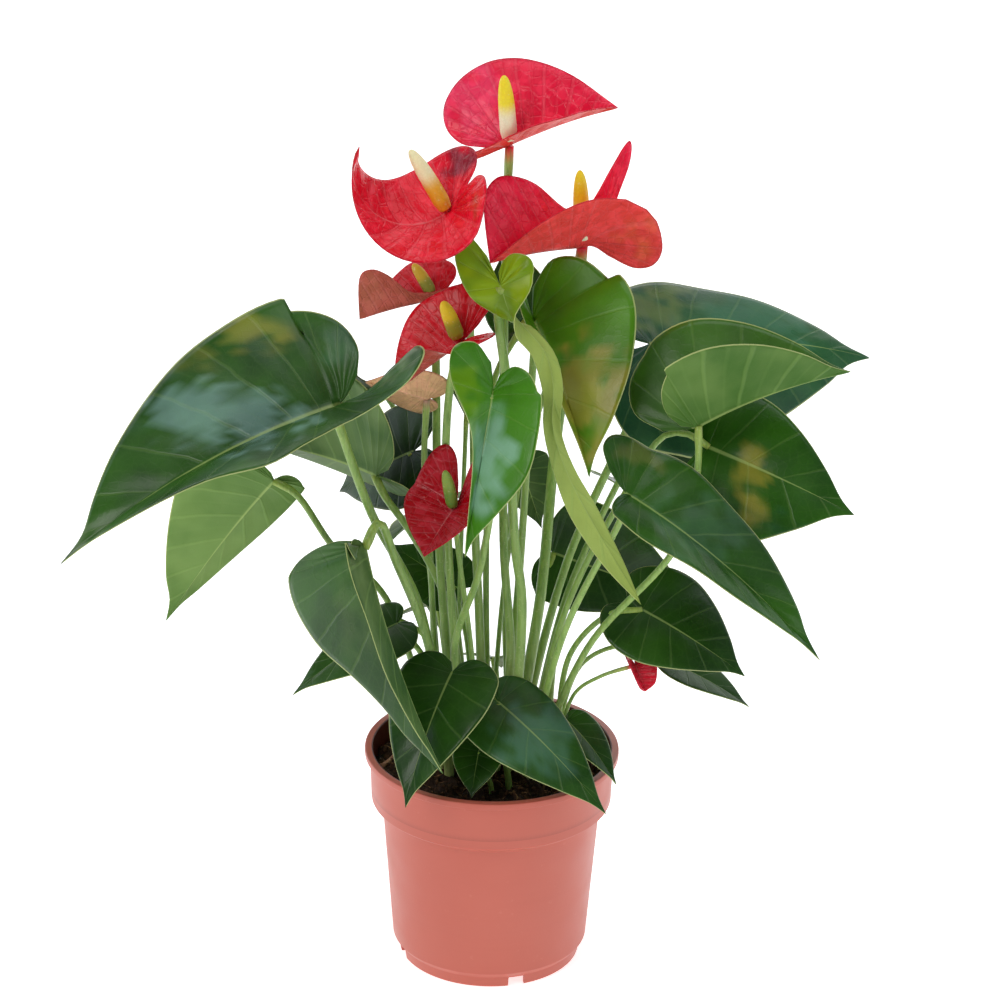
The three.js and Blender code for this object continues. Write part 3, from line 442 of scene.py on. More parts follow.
# A spathe's upper and under colour, its patches as for the leaves, and its spadix from base
# to tip.
BLOOM_LOOKS = {
    "bloom_1_top": {
        "upper": "F41C44", "under": "E4402E", "spadix": ("F6F0CC", "F7E11C"),
        "patches": [
            ([-14, 20, 384], (18, 16, 11), "B85A22", 1),
            # This pink patch is a painted highlight, light reflected from the spathe's glossy face.
            ([-12, 48, 410], (18, 30, 24), "FF4C7C", 0.5),
        ],
    },
    "bloom_2_left": {
        "upper": "F00C2C", "under": "B83A28", "spadix": ("EAB424", "F6EDBC"),
        "patches": [
            ([-4, -24, 380], (10, 18, 20), "B4583A", 0.95),
            ([-16, 4, 396], (14, 14, 14), "7A2434", 0.95),
        ],
    },
    "bloom_3_right": {
        "upper": "FF1C48", "under": "FF4A44", "spadix": ("F6F0CC", "F7E11C"),
        "patches": [([66, 20, 345], (18, 20, 18), "F8743C", 0.6)],
    },
    "bloom_4_back_left": {
        "upper": "BE0418", "under": "B86650", "spadix": ("7F8A28", "C9A826"),
        "patches": [([-60, 4, 330], (12, 12, 12), "C07A5C", 0.6)],
    },
    "bloom_5_front_red": {
        "upper": "D20418", "under": "A85040", "spadix": ("9DA52E", "F2D21C"),
    },
    "bloom_6_small": {"upper": "A80414", "under": "9A0C1C", "spadix": ("5E8A30", "7C9A3C")},
    "bloom_7_bud": {"upper": "E01C34", "under": "E42844"},
    "bloom_8_faded": {"upper": "D9A79A", "under": "E2BE8C", "spadix": ("A9A447", "B9AE52")},
}

# ---------------------------------------------------------------- the studio, in metres

STAGE_SIDE = 4.0
STAGE_FRONT = -6.0
STAGE_BACK = 3.4
STAGE_TOP = 3.4
STAGE_BEND = 0.8
STAGE_STEPS = 24
WORLD_COLOUR = (0.9, 0.95, 1.0, 1)
WORLD_STRENGTH = 0.12
PLANT_MIDDLE = Vector((0.01, 0, 0.24))

# Each lamp's place, its size across and up, its power in watts and its colour.
LAMPS = {
    "key": ((-1.3, -1.5, 1.9), (1.2, 1.2), 24, (1.0, 0.98, 0.95)),
    "fill": ((1.7, -1.2, 1.1), (1.2, 1.6), 9, (0.93, 0.96, 1.0)),
    "top": ((0.1, 0.2, 1.9), (1.6, 1.2), 12, (0.94, 0.97, 1.0)),
    "left": ((-1.5, 0.5, 0.5), (0.7, 1.6), 6, (0.8, 0.86, 1.0)),
    "right": ((1.5, 0.6, 0.5), (0.7, 1.6), 6, (0.8, 0.86, 1.0)),
}

# The photograph's camera: its place, how far it looks down, how far it is rolled, and its
# lens and sensor in millimetres.
CAMERA_PLACE = (0.0116, -1.833, 1.0328)
LOOK_DOWN = 23.58
CAMERA_ROLL = 0.864
LENS = 156.24
SENSOR = 36

# ---------------------------------------------------------------- small helpers


def place(points):
    """Millimetres from the pot's axis, as the frame's metres."""
    moved = np.array(points, float) + np.array([AXIS_X, 0, 0])
    return moved * MM


def unit(v):
    return v / np.linalg.norm(v)


def smoothstep(x, low, high):
    t = np.clip((x - low) / (high - low), 0, 1)
    return t * t * (3 - 2 * t)


def for_half(value, half):
    """A value given either for the whole blade or for its left and right halves."""
    return value[half] if isinstance(value, (list, tuple)) else value


def turned_about(v, axis, angle):
    """v turned about axis. v and angle may be one each, or one for every point."""
    angle = np.asarray(angle)[..., None]
    axis = np.broadcast_to(axis, np.broadcast(v, axis, angle).shape)
    along = axis * np.sum(axis * v, axis=-1, keepdims=True)
    return v * np.cos(angle) + np.cross(axis, v) * np.sin(angle) + along * (1 - np.cos(angle))


def circle(radius, sides):
    """Points spread evenly round the pot's axis."""
    turns = [2 * math.pi * j / sides for j in range(sides)]
    return [(radius * math.cos(turn), radius * math.sin(turn)) for turn in turns]


def mesh_object(name, points, faces, materials, kinds=None, places=None, tints=None):
    """A smooth-shaded mesh. kinds: a material for each face. places: two numbers for each
    corner of each face, kept as a UV map. tints: a colour for each point."""
    mesh = bpy.data.meshes.new(name)
    mesh.from_pydata([tuple(p) for p in place(points)], [], faces)
    for material in materials:
        mesh.materials.append(material)
    if kinds is not None:
        mesh.polygons.foreach_set("material_index", kinds)
    if places is not None:
        spots = [spot for marks in places for spot in marks]
        layer = mesh.uv_layers.new(name="place")
        layer.uv.foreach_set("vector", np.asarray(spots, float).ravel())
    if tints is not None:
        opaque = np.hstack([tints, np.ones((len(tints), 1))])
        attribute = mesh.color_attributes.new("tint", "FLOAT_COLOR", "POINT")
        attribute.data.foreach_set("color", opaque.ravel())
    mesh.polygons.foreach_set("use_smooth", [True] * len(mesh.polygons))
    mesh.validate()
    mesh.update()
    piece = bpy.data.objects.new(name, mesh)
    bpy.context.scene.collection.objects.link(piece)
    return piece


def form_object(name, form, materials):
    """The object of a bmesh, which is freed."""
    points = [tuple(v.co) for v in form.verts]
    faces = [[v.index for v in f.verts] for f in form.faces]
    form.free()
    return mesh_object(name, points, faces, materials)


def settle(piece, slot, *nodes):
    """The piece rides with the plant and stands for its CAD nodes."""
    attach(piece, "root")
    if nodes:
        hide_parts(*nodes)


# ---------------------------------------------------------------- colours


def rgb(text):
    """A colour written as RRGGBB, in the renderer's linear values."""
    values = [int(text[i:i + 2], 16) / 255 for i in (0, 2, 4)]
    return np.array([v / 12.92 if v <= 0.04045 else ((v + 0.055) / 1.055) ** 2.4 for v in values])


def mix(a, b, share):
    share = np.asarray(share, float)[..., None]
    return a * (1 - share) + b * share


def stem_tints(name, shares, to_end):
    """A stem's colours: paler at its foot and its knee, and a bloom's red where it ends."""
    knee = np.exp(-((to_end / KNEE_LENGTH) ** 2))
    colours = mix(rgb(STEM_COLOUR), rgb(STEM_FOOT), 1 - smoothstep(shares, 0, 0.35))
    colours = mix(colours, rgb(KNEE_COLOUR), 0.8 * knee)
    if name in BLOOM_LOOKS:
        colours = mix(colours, rgb(BLOOM_LOOKS[name]["upper"]), 1 - smoothstep(to_end, 2, 5))
    return colours


def blade_tints(points, upper, under, patches):
    """The colours of a blade's points, whose first half is its upper face, with its ragged
    patches mixed in, some of which are painted reflections and highlights."""
    count = len(points) // 2
    colours = np.vstack([np.tile(rgb(upper), (count, 1)), np.tile(rgb(under), (count, 1))])
    ragged = np.array([noise.noise(Vector(p) * PATCH_GRAIN) for p in points]) if patches else None
    for spot, radius, colour, strength in patches:
        distance = np.linalg.norm((points - np.array(spot)) / np.array(radius), axis=1)
        share = smoothstep(1 - distance + PATCH_RAGGED * ragged, 0, 0.6)
        near = 1 - smoothstep(distance, 0.9, 1.2)
        colours = mix(colours, rgb(colour), strength * share * near)
    return colours


# ---------------------------------------------------------------- stems


def curve_points(passed, count):
    """Points evenly spread along a centripetal Catmull-Rom curve through the given ones."""
    p = [np.array(q, float) for q in passed]
    p = [2 * p[0] - p[1], *p, 2 * p[-1] - p[-2]]
    fine = []
    for a, b, c, d in zip(p, p[1:], p[2:], p[3:]):
        t1 = math.sqrt(np.linalg.norm(c - b)) or 1
        t0 = math.sqrt(np.linalg.norm(b - a)) or t1
        t2 = math.sqrt(np.linalg.norm(d - c)) or t1
        m1 = t1 * ((b - a) / t0 - (c - a) / (t0 + t1) + (c - b) / t1)
        m2 = t1 * ((c - b) / t1 - (d - b) / (t1 + t2) + (d - c) / t2)
        t = np.linspace(0, 1, 24, endpoint=False)[:, None]
        cubic = 2 * (b - c) + m1 + m2
        square = 3 * (c - b) - 2 * m1 - m2
        fine.append(b + t * (m1 + t * (square + t * cubic)))
    fine = np.vstack([*fine, p[-2]])
    steps = np.linalg.norm(np.diff(fine, axis=0), axis=1)
    length = np.concatenate([[0], np.cumsum(steps)])
    wanted = np.linspace(0, length[-1], count)
    even = np.stack([np.interp(wanted, length, fine[:, k]) for k in range(3)], axis=1)
    return even, length[-1]


def tube(centres, radius_at, sides):
    """A closed tube round the centres. radius_at gives its radius from step and turn."""
    tangents = np.gradient(centres, axis=0)
    tangents /= np.linalg.norm(tangents, axis=1, keepdims=True)
    side = unit(np.cross(tangents[0], [0.13, 0.91, 0.39]))
    points = []
    for i, (centre, tangent) in enumerate(zip(centres, tangents)):
        side = unit(side - tangent * np.dot(side, tangent))
        other = np.cross(tangent, side)
        for j in range(sides):
            turn = 2 * math.pi * j / sides
            radius = radius_at(i, turn)
            points.append(centre + radius * (side * math.cos(turn) + other * math.sin(turn)))
    faces = []
    for i in range(len(centres) - 1):
        for j in range(sides):
            a = i * sides + j
            b = i * sides + (j + 1) % sides
            faces.append((a, b, b + sides, a + sides))
    last = (len(centres) - 1) * sides
    faces.append(tuple(reversed(range(sides))))
    faces.append(tuple(range(last, last + sides)))
    return points, faces


def stem_path(plant):
    """The stem's points: upright in the soil, then along its way up to the joint."""
    x, y = plant["foot"]
    joint = np.array(plant["joint"], float)
    if "spadix" in plant:
        joint = joint - unit(joint - np.array(plant["way"][-1], float)) * SPATHE_CLEAR
    low = [[x, y, SOIL_TOP - STEM_DEPTH], [x, y, SOIL_TOP - 4], [x, y, SOIL_TOP + 3]]
    return [*low, *plant["way"], joint]


def stem_mesh(plant):
    """A stem with its thicker foot, its knee under the blade and its faint grooves."""
    centres, length = curve_points(stem_path(plant), STEM_STEPS)
    radius = plant["thick"] / 2

    def radius_at(step, turn):
        share = step / (STEM_STEPS - 1)
        swell = 1 + (BASE_SWELL - 1) * max(0, 1 - 3 * share)
        from_knee = (1 - share) * length - KNEE_LENGTH * 0.5
        knee = KNEE_SWELL * math.exp(-((from_knee / (KNEE_LENGTH * 0.4)) ** 2))
        groove = GROOVE * math.cos(2 * turn + 4 * share)
        return radius * (swell + knee + groove)

    points, faces = tube(centres, radius_at, STEM_SIDES)
    shares = np.repeat(np.linspace(0, 1, STEM_STEPS), STEM_SIDES)
    return points, faces, stem_tints(plant["name"], shares, (1 - shares) * length)


# ---------------------------------------------------------------- blades


def axes_along(along, roll):
    """The axes of a blade that heads a given way: up out of its upper face, and left."""
    up = np.array([0, 0, 1.0]) - along * along[..., 2:3]
    up /= np.linalg.norm(up, axis=-1, keepdims=True)
    up = turned_about(up, along, np.radians(roll))
    return up, np.cross(up, along)


def chord_of(plant):
    """The way from a blade's joint to its tip."""
    return np.array(plant["tip"], float) - np.array(plant["joint"], float)


def course_at(plant, share):
    """The midrib's point and heading at each share of a blade that follows a course."""
    points, length = curve_points([plant["joint"], *plant["course"], plant["tip"]], COURSE_STEPS)
    shares = np.linspace(0, 1, COURSE_STEPS)
    headings = np.gradient(points, axis=0)
    headings /= np.linalg.norm(headings, axis=1, keepdims=True)

    def at(values):
        return np.stack([np.interp(share, shares, values[:, k]) for k in range(3)], axis=-1)

    return at(points), at(headings), length


def blade_axes(plant):
    """A blade's length, and its axes at the joint."""
    if "course" in plant:
        _, headings, length = course_at(plant, np.zeros(1))
        return length, headings[0], *axes_along(headings[0], plant["roll"])
    chord = chord_of(plant)
    return np.linalg.norm(chord), unit(chord), *axes_along(unit(chord), plant["roll"])


def midrib_turn(plant, share, lift):
    """How far the midrib has turned from the line between joint and tip, at each share."""
    start = math.radians(plant["bend"]) / 2
    ahead = start - math.radians(plant["bend"]) * share
    behind = start - math.radians(lift) * np.minimum(1, -share / LOBE_TURN)
    return np.where(share < 0, behind, ahead)


def fold_at(plant, share, half):
    """How far a half is raised at the midrib, which may change on the way to the tip."""
    fold = plant["fold"][half]
    if "tip_fold" not in plant:
        return np.full_like(share, fold)
    return fold + (plant["tip_fold"][half] - fold) * smoothstep(share, 0, FOLD_TURN)


def midrib_points(plant, share, half):
    """The midrib's points, its upward and sideways axes there, and the blade's length."""
    chord, along, up, left = blade_axes(plant)
    bend = math.radians(plant["bend"]) / 2
    length = chord if abs(bend) < 1e-3 else chord * bend / math.sin(bend)
    lift = plant["lift"][half]
    stretch = np.where(share < 0, for_half(plant.get("lobe", 1), half), 1) * share
    point = np.broadcast_to(np.array(plant["joint"], float), (*share.shape, 3)).copy()
    for i in range(ARC_STEPS):
        turn = midrib_turn(plant, share * (i + 0.5) / ARC_STEPS, lift)[..., None]
        step = (stretch * length / ARC_STEPS)[..., None]
        point += (along * np.cos(turn) + up * np.sin(turn)) * step
    turn = midrib_turn(plant, share, lift)[..., None]
    normal = up * np.cos(turn) - along * np.sin(turn)
    aside = np.broadcast_to(left, normal.shape)
    if "course" in plant:
        middle, heading, _ = course_at(plant, share)
        roll = plant["roll"] + plant["twist"] * smoothstep(share, 0, TWIST_END)
        ahead = (share > 0)[..., None]
        there_up, there_left = axes_along(heading, roll)
        point = np.where(ahead, middle, point)
        normal = np.where(ahead, there_up, normal)
        aside = np.where(ahead, there_left, aside)
    return point, normal, aside, length


def blade_points(plant, share, out, half):
    """The points of a blade at shares along the midrib and shares out to one side."""
    point, normal, aside, length = midrib_points(plant, share, half)
    side = 1 if half == 0 else -1
    reach = out * for_half(plant["wide"], half) * length
    fold = fold_at(plant, share, half)
    for i in range(ARC_STEPS):
        middle = out * (i + 0.5) / ARC_STEPS
        rise = np.radians(fold + plant["curl"][half] * middle / HALF_WIDTH)
        point += aside * (side * np.cos(rise) * reach / ARC_STEPS)[..., None]
        point += normal * (np.sin(rise) * reach / ARC_STEPS)[..., None]
    ripple = np.sin(2 * math.pi * (RIPPLES * share + 0.37 * half)) * plant.get("wave", 0)
    return point + normal * (ripple * (out / HALF_WIDTH) ** 2)[..., None], length


def smooth_rows(veins, per_vein):
    """Rows between the veins, along Catmull-Rom curves through their ends and feet."""
    rows = np.array([veins[0], *veins, veins[-1]], float)
    rows[0] = 2 * rows[1] - rows[2]
    fine = []
    for a, b, c, d in zip(rows, rows[1:], rows[2:], rows[3:]):
        for t in np.arange(per_vein) / per_vein:
            fine.append(
                b
                + 0.5 * t * (c - a)
                + t * t * (a - 2.5 * b + 2 * c - 0.5 * d)
                + t * t * t * (1.5 * (b - c) + 0.5 * (d - a))
            )
    fine.append(rows[-2])
    fine = np.array(fine)
    count = np.arange(len(fine)) / per_vein
    fine[:, 2] = np.interp(count, np.arange(len(veins)), [v[2] for v in veins])
    fine[:, 1] = np.maximum(fine[:, 1], 0)
    return fine, count


def blade_grid(plant, veins):
    """Both halves of a blade's middle surface as one mesh, with each face corner's place:
    the vein that it lies at, and how far it is from the midrib to the edge."""
    width = ACROSS + 1
    part = np.linspace(0, 1, width)
    points, faces, places, shares = [], [], [], []
    for half in range(2):
        factors = plant.get("shape", [[], []])[half] or [1] * len(veins)
        own = [(end, out * factor, foot) for (end, out, foot), factor in zip(veins, factors)]
        rows, count = smooth_rows(own, ROWS_PER_VEIN)
        ends, outs, feet = rows[:, 0:1], rows[:, 1:2], rows[:, 2:3]
        share = feet + (ends - feet) * part
        made, length = blade_points(plant, share, outs * part, half)
        start = len(points)
        points.extend(made.reshape(-1, 3))
        shares.extend(share.ravel())
        for i in range(len(rows) - 1):
            for k in range(ACROSS):
                quad = [(i, k), (i, k + 1), (i + 1, k + 1), (i + 1, k)]
                if half == 0:
                    quad.reverse()
                faces.append([start + row * width + column for row, column in quad])
                places.append([(count[row], part[column] + 2 * half) for row, column in quad])
    return np.array(points), faces, places, np.array(shares), length


def welded(points, faces, places):
    """The mesh with its shared corners joined, and its empty faces dropped."""
    keys, first, index = {}, [], np.zeros(len(points), int)
    for i, key in enumerate(map(tuple, np.round(points, 2))):
        if key not in keys:
            keys[key] = len(first)
            first.append(i)
        index[i] = keys[key]
    kept, kept_places = [], []
    for face, spots in zip(faces, places):
        corners, marks = [], []
        for corner, spot in zip(index[face], spots):
            if corner not in corners:
                corners.append(int(corner))
                marks.append(spot)
        if len(corners) > 2:
            kept.append(corners)
            kept_places.append(marks)
    return np.array(first), kept, kept_places


def point_normals(points, faces):
    normals = np.zeros_like(points)
    for face in faces:
        corners = points[face]
        normal = np.cross(corners[2] - corners[0], corners[-1] - corners[1])
        if len(face) == 3:
            normal = np.cross(corners[1] - corners[0], corners[2] - corners[0])
        normals[face] += normal
    return normals / np.maximum(np.linalg.norm(normals, axis=1, keepdims=True), 1e-9)


def relief(count, part, share, amount, width):
    """How far a blade swells between its veins, and its midrib stands out below, in mm."""
    between = np.sin(math.pi * (count % 1)) ** 2 * np.sin(math.pi * np.clip(part, 0, 1)) ** 0.7
    ridge = np.exp(-((part * width / MIDRIB_SPREAD) ** 2)) * (1 - 0.75 * np.clip(share, 0, 1))
    return amount * between, MIDRIB_HEIGHT * ridge


def rim_edges(faces, places):
    """The edges that only one face has, with the places of their ends."""
    edges = {}
    for face, marks in zip(faces, places):
        for a, b, p, q in zip(face, face[1:] + face[:1], marks, marks[1:] + marks[:1]):
            edges[(a, b)] = (p, q)
    return [(edge, ends) for edge, ends in edges.items() if (edge[1], edge[0]) not in edges]


def blade_mesh(plant, veins, thickness, quilt):
    """A closed blade: its upper face, its lower face and its rim."""
    grid, faces, places, shares, length = blade_grid(plant, veins)
    first, faces, places = welded(grid, faces, places)
    middle, shares = grid[first], shares[first]
    spots = np.zeros((len(middle), 2))
    for face, marks in zip(faces, places):
        spots[face] = marks
    part = spots[:, 1] % 2
    normals = point_normals(middle, faces)
    width = HALF_WIDTH * length * for_half(plant["wide"], 0)
    swell, ridge = relief(spots[:, 0], part, shares, quilt * length, width)
    centre = middle + normals * swell[:, None]
    half = 0.5 * thickness * (1 - 0.5 * smoothstep(part, 0.95, 1))
    upper = centre + normals * half[:, None]
    lower = centre - normals * (half + ridge)[:, None]
    count = len(middle)
    kinds = [0] * len(faces)
    rim = rim_edges(faces, places)
    faces = faces + [[count + c for c in reversed(face)] for face in faces]
    places = places + [list(reversed(marks)) for marks in places]
    for (a, b), (p, q) in rim:
        faces.append([b, a, count + a, count + b])
        places.append([q, p, p, q])
    kinds += [1] * (len(faces) - len(kinds))
    return np.vstack([upper, lower]), faces, places, kinds


def leaf_veins(plant):
    if plant.get("narrow"):
        return NARROW_VEINS
    return LEAF_VEINS if np.linalg.norm(chord_of(plant)) > LARGE_BLADE else SMALL_LEAF_VEINS


def build_leaf(plant, materials):
    """A blade and its stem as one piece."""
    look = LEAF_LOOKS.get(plant["name"], {})
    green = look.get("green", LEAF_GREEN)
    points, faces, places, kinds = blade_mesh(plant, leaf_veins(plant), BLADE, LEAF_QUILT)
    tints = blade_tints(points, green, look.get("under", green), look.get("patches", []))
    stem, stem_faces, stem_colours = stem_mesh(plant)
    faces += [[len(points) + c for c in face] for face in stem_faces]
    places += [[(0, 0.5)] * len(face) for face in stem_faces]
    kinds += [2] * len(stem_faces)
    points = np.vstack([points, stem])
    tints = np.vstack([tints, stem_colours])
    piece = mesh_object(plant["name"] + "_fine", points, faces, materials, kinds, places, tints)
    settle(piece, "leaf", plant["name"])


def build_bloom(plant, materials, stem_material, spadix_material):
    name = plant["name"]
    look = BLOOM_LOOKS[name]
    points, faces, places, kinds = blade_mesh(plant, SPATHE_VEINS, SPATHE_BLADE, SPATHE_QUILT)
    tints = blade_tints(points, look["upper"], look["under"], look.get("patches", []))
    piece = mesh_object(f"{name}_spathe_fine", points, faces, materials, kinds, places, tints)
    settle(piece, "spathe", f"{name}_spathe")
    points, faces, tints = stem_mesh(plant)
    piece = mesh_object(f"{name}_stem_fine", points, faces, [stem_material], tints=tints)
    settle(piece, "stem", f"{name}_stem")
    if "spadix" in plant:
        points, faces, shares = spadix_mesh(plant)
        low, high = (rgb(colour) for colour in look["spadix"])
        tints = mix(low, high, smoothstep(shares, SPADIX_TIP_FROM, SPADIX_TIP_TO))
        piece = mesh_object(f"{name}_spadix_fine", points, faces, [spadix_material], tints=tints)
        settle(piece, "spadix", f"{name}_spadix")


def spadix_mesh(plant):
    """A blunt spike covered in a diamond grid of small raised florets."""
    reach = np.array(plant["spadix"], float)
    joint = np.array(plant["joint"], float)
    base = joint + unit(reach) * plant["seat"]
    middle = base + 0.45 * reach + [0, 0, SPADIX_BOW]
    centres, length = curve_points([base, middle, joint + reach], SPADIX_STEPS)
    shares = np.linspace(0, 1, SPADIX_STEPS)
    ends = 1 - (1 - shares) ** 2
    centres = np.stack([np.interp(ends, shares, centres[:, k]) for k in range(3)], axis=1)
    around = max(6, round(math.pi * plant["girth"] / FLORET_PITCH / 1.1))
    along = length / FLORET_PITCH

    def radius_at(step, turn):
        share = ends[step]
        taper = min(1, SPADIX_BASE + 2 * share) * math.sqrt(max(0.0, 1 - share ** 4))
        down = abs(math.cos(math.pi * along * share) * math.cos(around * turn / 2))
        across = abs(math.sin(math.pi * along * share) * math.sin(around * turn / 2))
        floret = FLORET_HEIGHT * (down + across - 0.5) * min(1, 6 * taper)
        return (plant["girth"] / 2) * taper + floret

    points, faces = tube(centres, radius_at, SPADIX_SIDES)
    return points, faces, np.repeat(ends, SPADIX_SIDES)


# ---------------------------------------------------------------- materials


def plain(text):
    return (*rgb(text), 1.0)


class Nodes:
    """A short way to write a material's nodes and the links between them."""

    def __init__(self, name):
        self.material = bpy.data.materials.new(name)
        self.material.use_nodes = True
        self.tree = self.material.node_tree
        self.shader = self.tree.nodes["Principled BSDF"]

    def add(self, kind, inputs=None, **settings):
        node = self.tree.nodes.new(kind)
        for key, value in settings.items():
            setattr(node, key, value)
        for key, value in (inputs or {}).items():
            self.put(node.inputs[key], value)
        return node

    def put(self, socket, value):
        if isinstance(value, bpy.types.NodeSocket):
            self.tree.links.new(value, socket)
        else:
            socket.default_value = value

    def math(self, operation, a, b=0.0):
        return self.add("ShaderNodeMath", {0: a, 1: b}, operation=operation).outputs[0]

    def times(self, a, b):
        return self.math("MULTIPLY", a, b)

    def plus(self, a, b):
        return self.math("ADD", a, b)

    def ramp(self, value, low, high, bottom=0.0, top=1.0):
        """value from low to high, smoothly turned into bottom to top."""
        node = self.add(
            "ShaderNodeMapRange",
            {"Value": value, "From Min": low, "From Max": high, "To Min": bottom, "To Max": top},
            interpolation_type="SMOOTHSTEP",
        )
        return node.outputs["Result"]

    def blend(self, a, b, share):
        node = self.add("ShaderNodeMix", data_type="RGBA")
        self.put(node.inputs["Factor"], share)
        self.put(node.inputs["A"], a)
        self.put(node.inputs["B"], b)
        return node.outputs["Result"]

    def layers(self, colour, *laid):
        """The colour with others laid over it, each where its mask says and by its share."""
        for text, mask, share in laid:
            colour = self.blend(colour, plain(text), self.times(mask, share))
        return colour

    def coordinates(self):
        return self.add("ShaderNodeTexCoord").outputs["Object"]

    def stretched(self, scale):
        """Coordinates that stretch a pattern along the pot's axis, or across it."""
        node = self.add("ShaderNodeMapping", {"Vector": self.coordinates(), "Scale": scale})
        return node.outputs["Vector"]

    def noise(self, scale, detail=2.0, vector=None):
        vector = vector or self.coordinates()
        node = self.add("ShaderNodeTexNoise", {"Vector": vector, "Scale": scale, "Detail": detail})
        return node.outputs["Fac"]

    def uneven(self, scale, low, high, detail=2.0):
        """A roughness that wanders from low to high."""
        return self.ramp(self.noise(scale, detail), 0.3, 0.7, low, high)

    def net(self, scale, width):
        """The lines of a net of cells, from 0 to 1."""
        node = self.add(
            "ShaderNodeTexVoronoi",
            {"Vector": self.coordinates(), "Scale": scale},
            feature="DISTANCE_TO_EDGE",
        )
        return self.ramp(node.outputs["Distance"], 0.0, width, 1.0, 0.0)

    def bump(self, height, distance, strength=1.0):
        inputs = {"Height": height, "Distance": distance, "Strength": strength}
        node = self.add("ShaderNodeBump", inputs)
        self.put(self.shader.inputs["Normal"], node.outputs["Normal"])

    def place(self):
        """How far round the veins a point lies, and how far out from the midrib."""
        spot = self.add("ShaderNodeUVMap", uv_map="place").outputs["UV"]
        parts = self.add("ShaderNodeSeparateXYZ", {"Vector": spot})
        second_half = self.math("GREATER_THAN", parts.outputs["Y"], 1.5)
        out = self.math("SUBTRACT", parts.outputs["Y"], self.times(second_half, 2.0))
        return parts.outputs["X"], out

    def tint(self):
        return self.add("ShaderNodeAttribute", attribute_name="tint").outputs["Color"]

    def set(self, **values):
        for key, value in values.items():
            self.put(self.shader.inputs[key.replace("_", " ")], value)
        return self.material


def vein_masks(nodes, width):
    """The blade's side veins, the lesser ones between, midrib and edge, each from 0 to 1."""
    count, out = nodes.place()
    wobble = nodes.times(nodes.math("SUBTRACT", nodes.noise(60), 0.5), 0.16)
    shifted = nodes.plus(count, wobble)
    side = nodes.ramp(nodes.math("PINGPONG", shifted, 0.5), width, width * 0.25)
    between = nodes.math("PINGPONG", nodes.plus(shifted, 0.5), 0.5)
    minor = nodes.ramp(between, width * 0.8, width * 0.2)
    midrib = nodes.ramp(out, MIDRIB_WIDTH * 1.6, MIDRIB_WIDTH * 0.6)
    edge = nodes.ramp(out, 0.982, 0.992)
    return side, minor, midrib, edge


def leaf_material(name, upper):
    nodes = Nodes(name)
    side, minor, midrib, edge = vein_masks(nodes, 0.05 if upper else 0.08)
    net = nodes.net(260, 0.1)
    tint = nodes.tint()
    dark = nodes.blend(tint, plain("0A1C04" if upper else "3E5A24"), 0.36 if upper else 0.25)
    pale = nodes.blend(tint, plain("548A20" if upper else "9DB46C"), 0.18 if upper else 0.26)
    colour = nodes.layers(
        nodes.blend(dark, pale, nodes.ramp(nodes.noise(26, 3.0), 0.34, 0.66)),
        ("5E8A3C", net, 0.04),
        ("7A9F50", minor, 0.03 if upper else 0.08),
        ("8FB05E", side, 0.1 if upper else 0.2),
        ("A9C070", midrib, 0.5 if upper else 0.65),
        ("C3CC86", edge, 0.7),
    )
    height = nodes.plus(nodes.times(nodes.noise(420, 4.0), 0.3), nodes.times(net, 0.12))
    nodes.bump(nodes.plus(height, nodes.times(side, -0.7 if upper else 0.9)), 0.0003, 0.6)
    if upper:
        nodes.set(Roughness=nodes.uneven(35, 0.26, 0.4), Specular_IOR_Level=0.26)
        return nodes.set(Base_Color=colour, Coat_Weight=0.07, Coat_Roughness=0.18)
    nodes.set(Roughness=nodes.uneven(35, 0.5, 0.64), Specular_IOR_Level=0.22)
    return nodes.set(Base_Color=colour)


def spathe_material(name, upper):
    nodes = Nodes(name)
    side, minor, midrib, edge = vein_masks(nodes, 0.09)
    blotches = nodes.ramp(nodes.noise(170), 0.47, 0.6)
    net = nodes.net(210, 0.1)
    tint = nodes.tint()
    deep = nodes.blend(tint, plain("A80014"), 0.2)
    light = nodes.blend(tint, plain("FF5A70"), 0.14)
    colour = nodes.layers(
        nodes.blend(deep, light, blotches),
        ("FF8492", net, 0.04),
        ("FF8C98", minor, 0.03),
        ("FF9CA4", side, 0.08),
        ("FFB0B0", midrib, 0.22),
        ("B01028", edge, 0.5),
    )
    lines = nodes.plus(side, nodes.times(minor, 0.6))
    height = nodes.math("SUBTRACT", nodes.times(nodes.noise(90, 3.0), 0.8), lines)
    nodes.bump(nodes.math("SUBTRACT", height, nodes.times(net, 0.5)), 0.0006, 0.6)
    if upper:
        nodes.set(Roughness=nodes.uneven(60, 0.2, 0.32), Specular_IOR_Level=0.2)
        return nodes.set(Base_Color=colour, Coat_Weight=0.08, Coat_Roughness=0.1)
    nodes.set(Roughness=nodes.uneven(60, 0.36, 0.48), Specular_IOR_Level=0.18)
    return nodes.set(Base_Color=colour)


def stem_material():
    nodes = Nodes("petiole")
    streak = nodes.noise(700, 3.0, nodes.stretched((1, 1, 0.12)))
    specks = nodes.ramp(nodes.noise(900), 0.62, 0.7)
    colour = nodes.blend(nodes.tint(), plain("4E7A2A"), nodes.ramp(streak, 0.4, 0.7, 0.0, 0.45))
    colour = nodes.layers(colour, ("C3CD8E", specks, 0.35))
    nodes.bump(streak, 0.0002, 0.5)
    rough = nodes.ramp(streak, 0.3, 0.7, 0.3, 0.42)
    nodes.set(Subsurface_Weight=0.1, Subsurface_Scale=0.002)
    return nodes.set(Base_Color=colour, Roughness=rough)


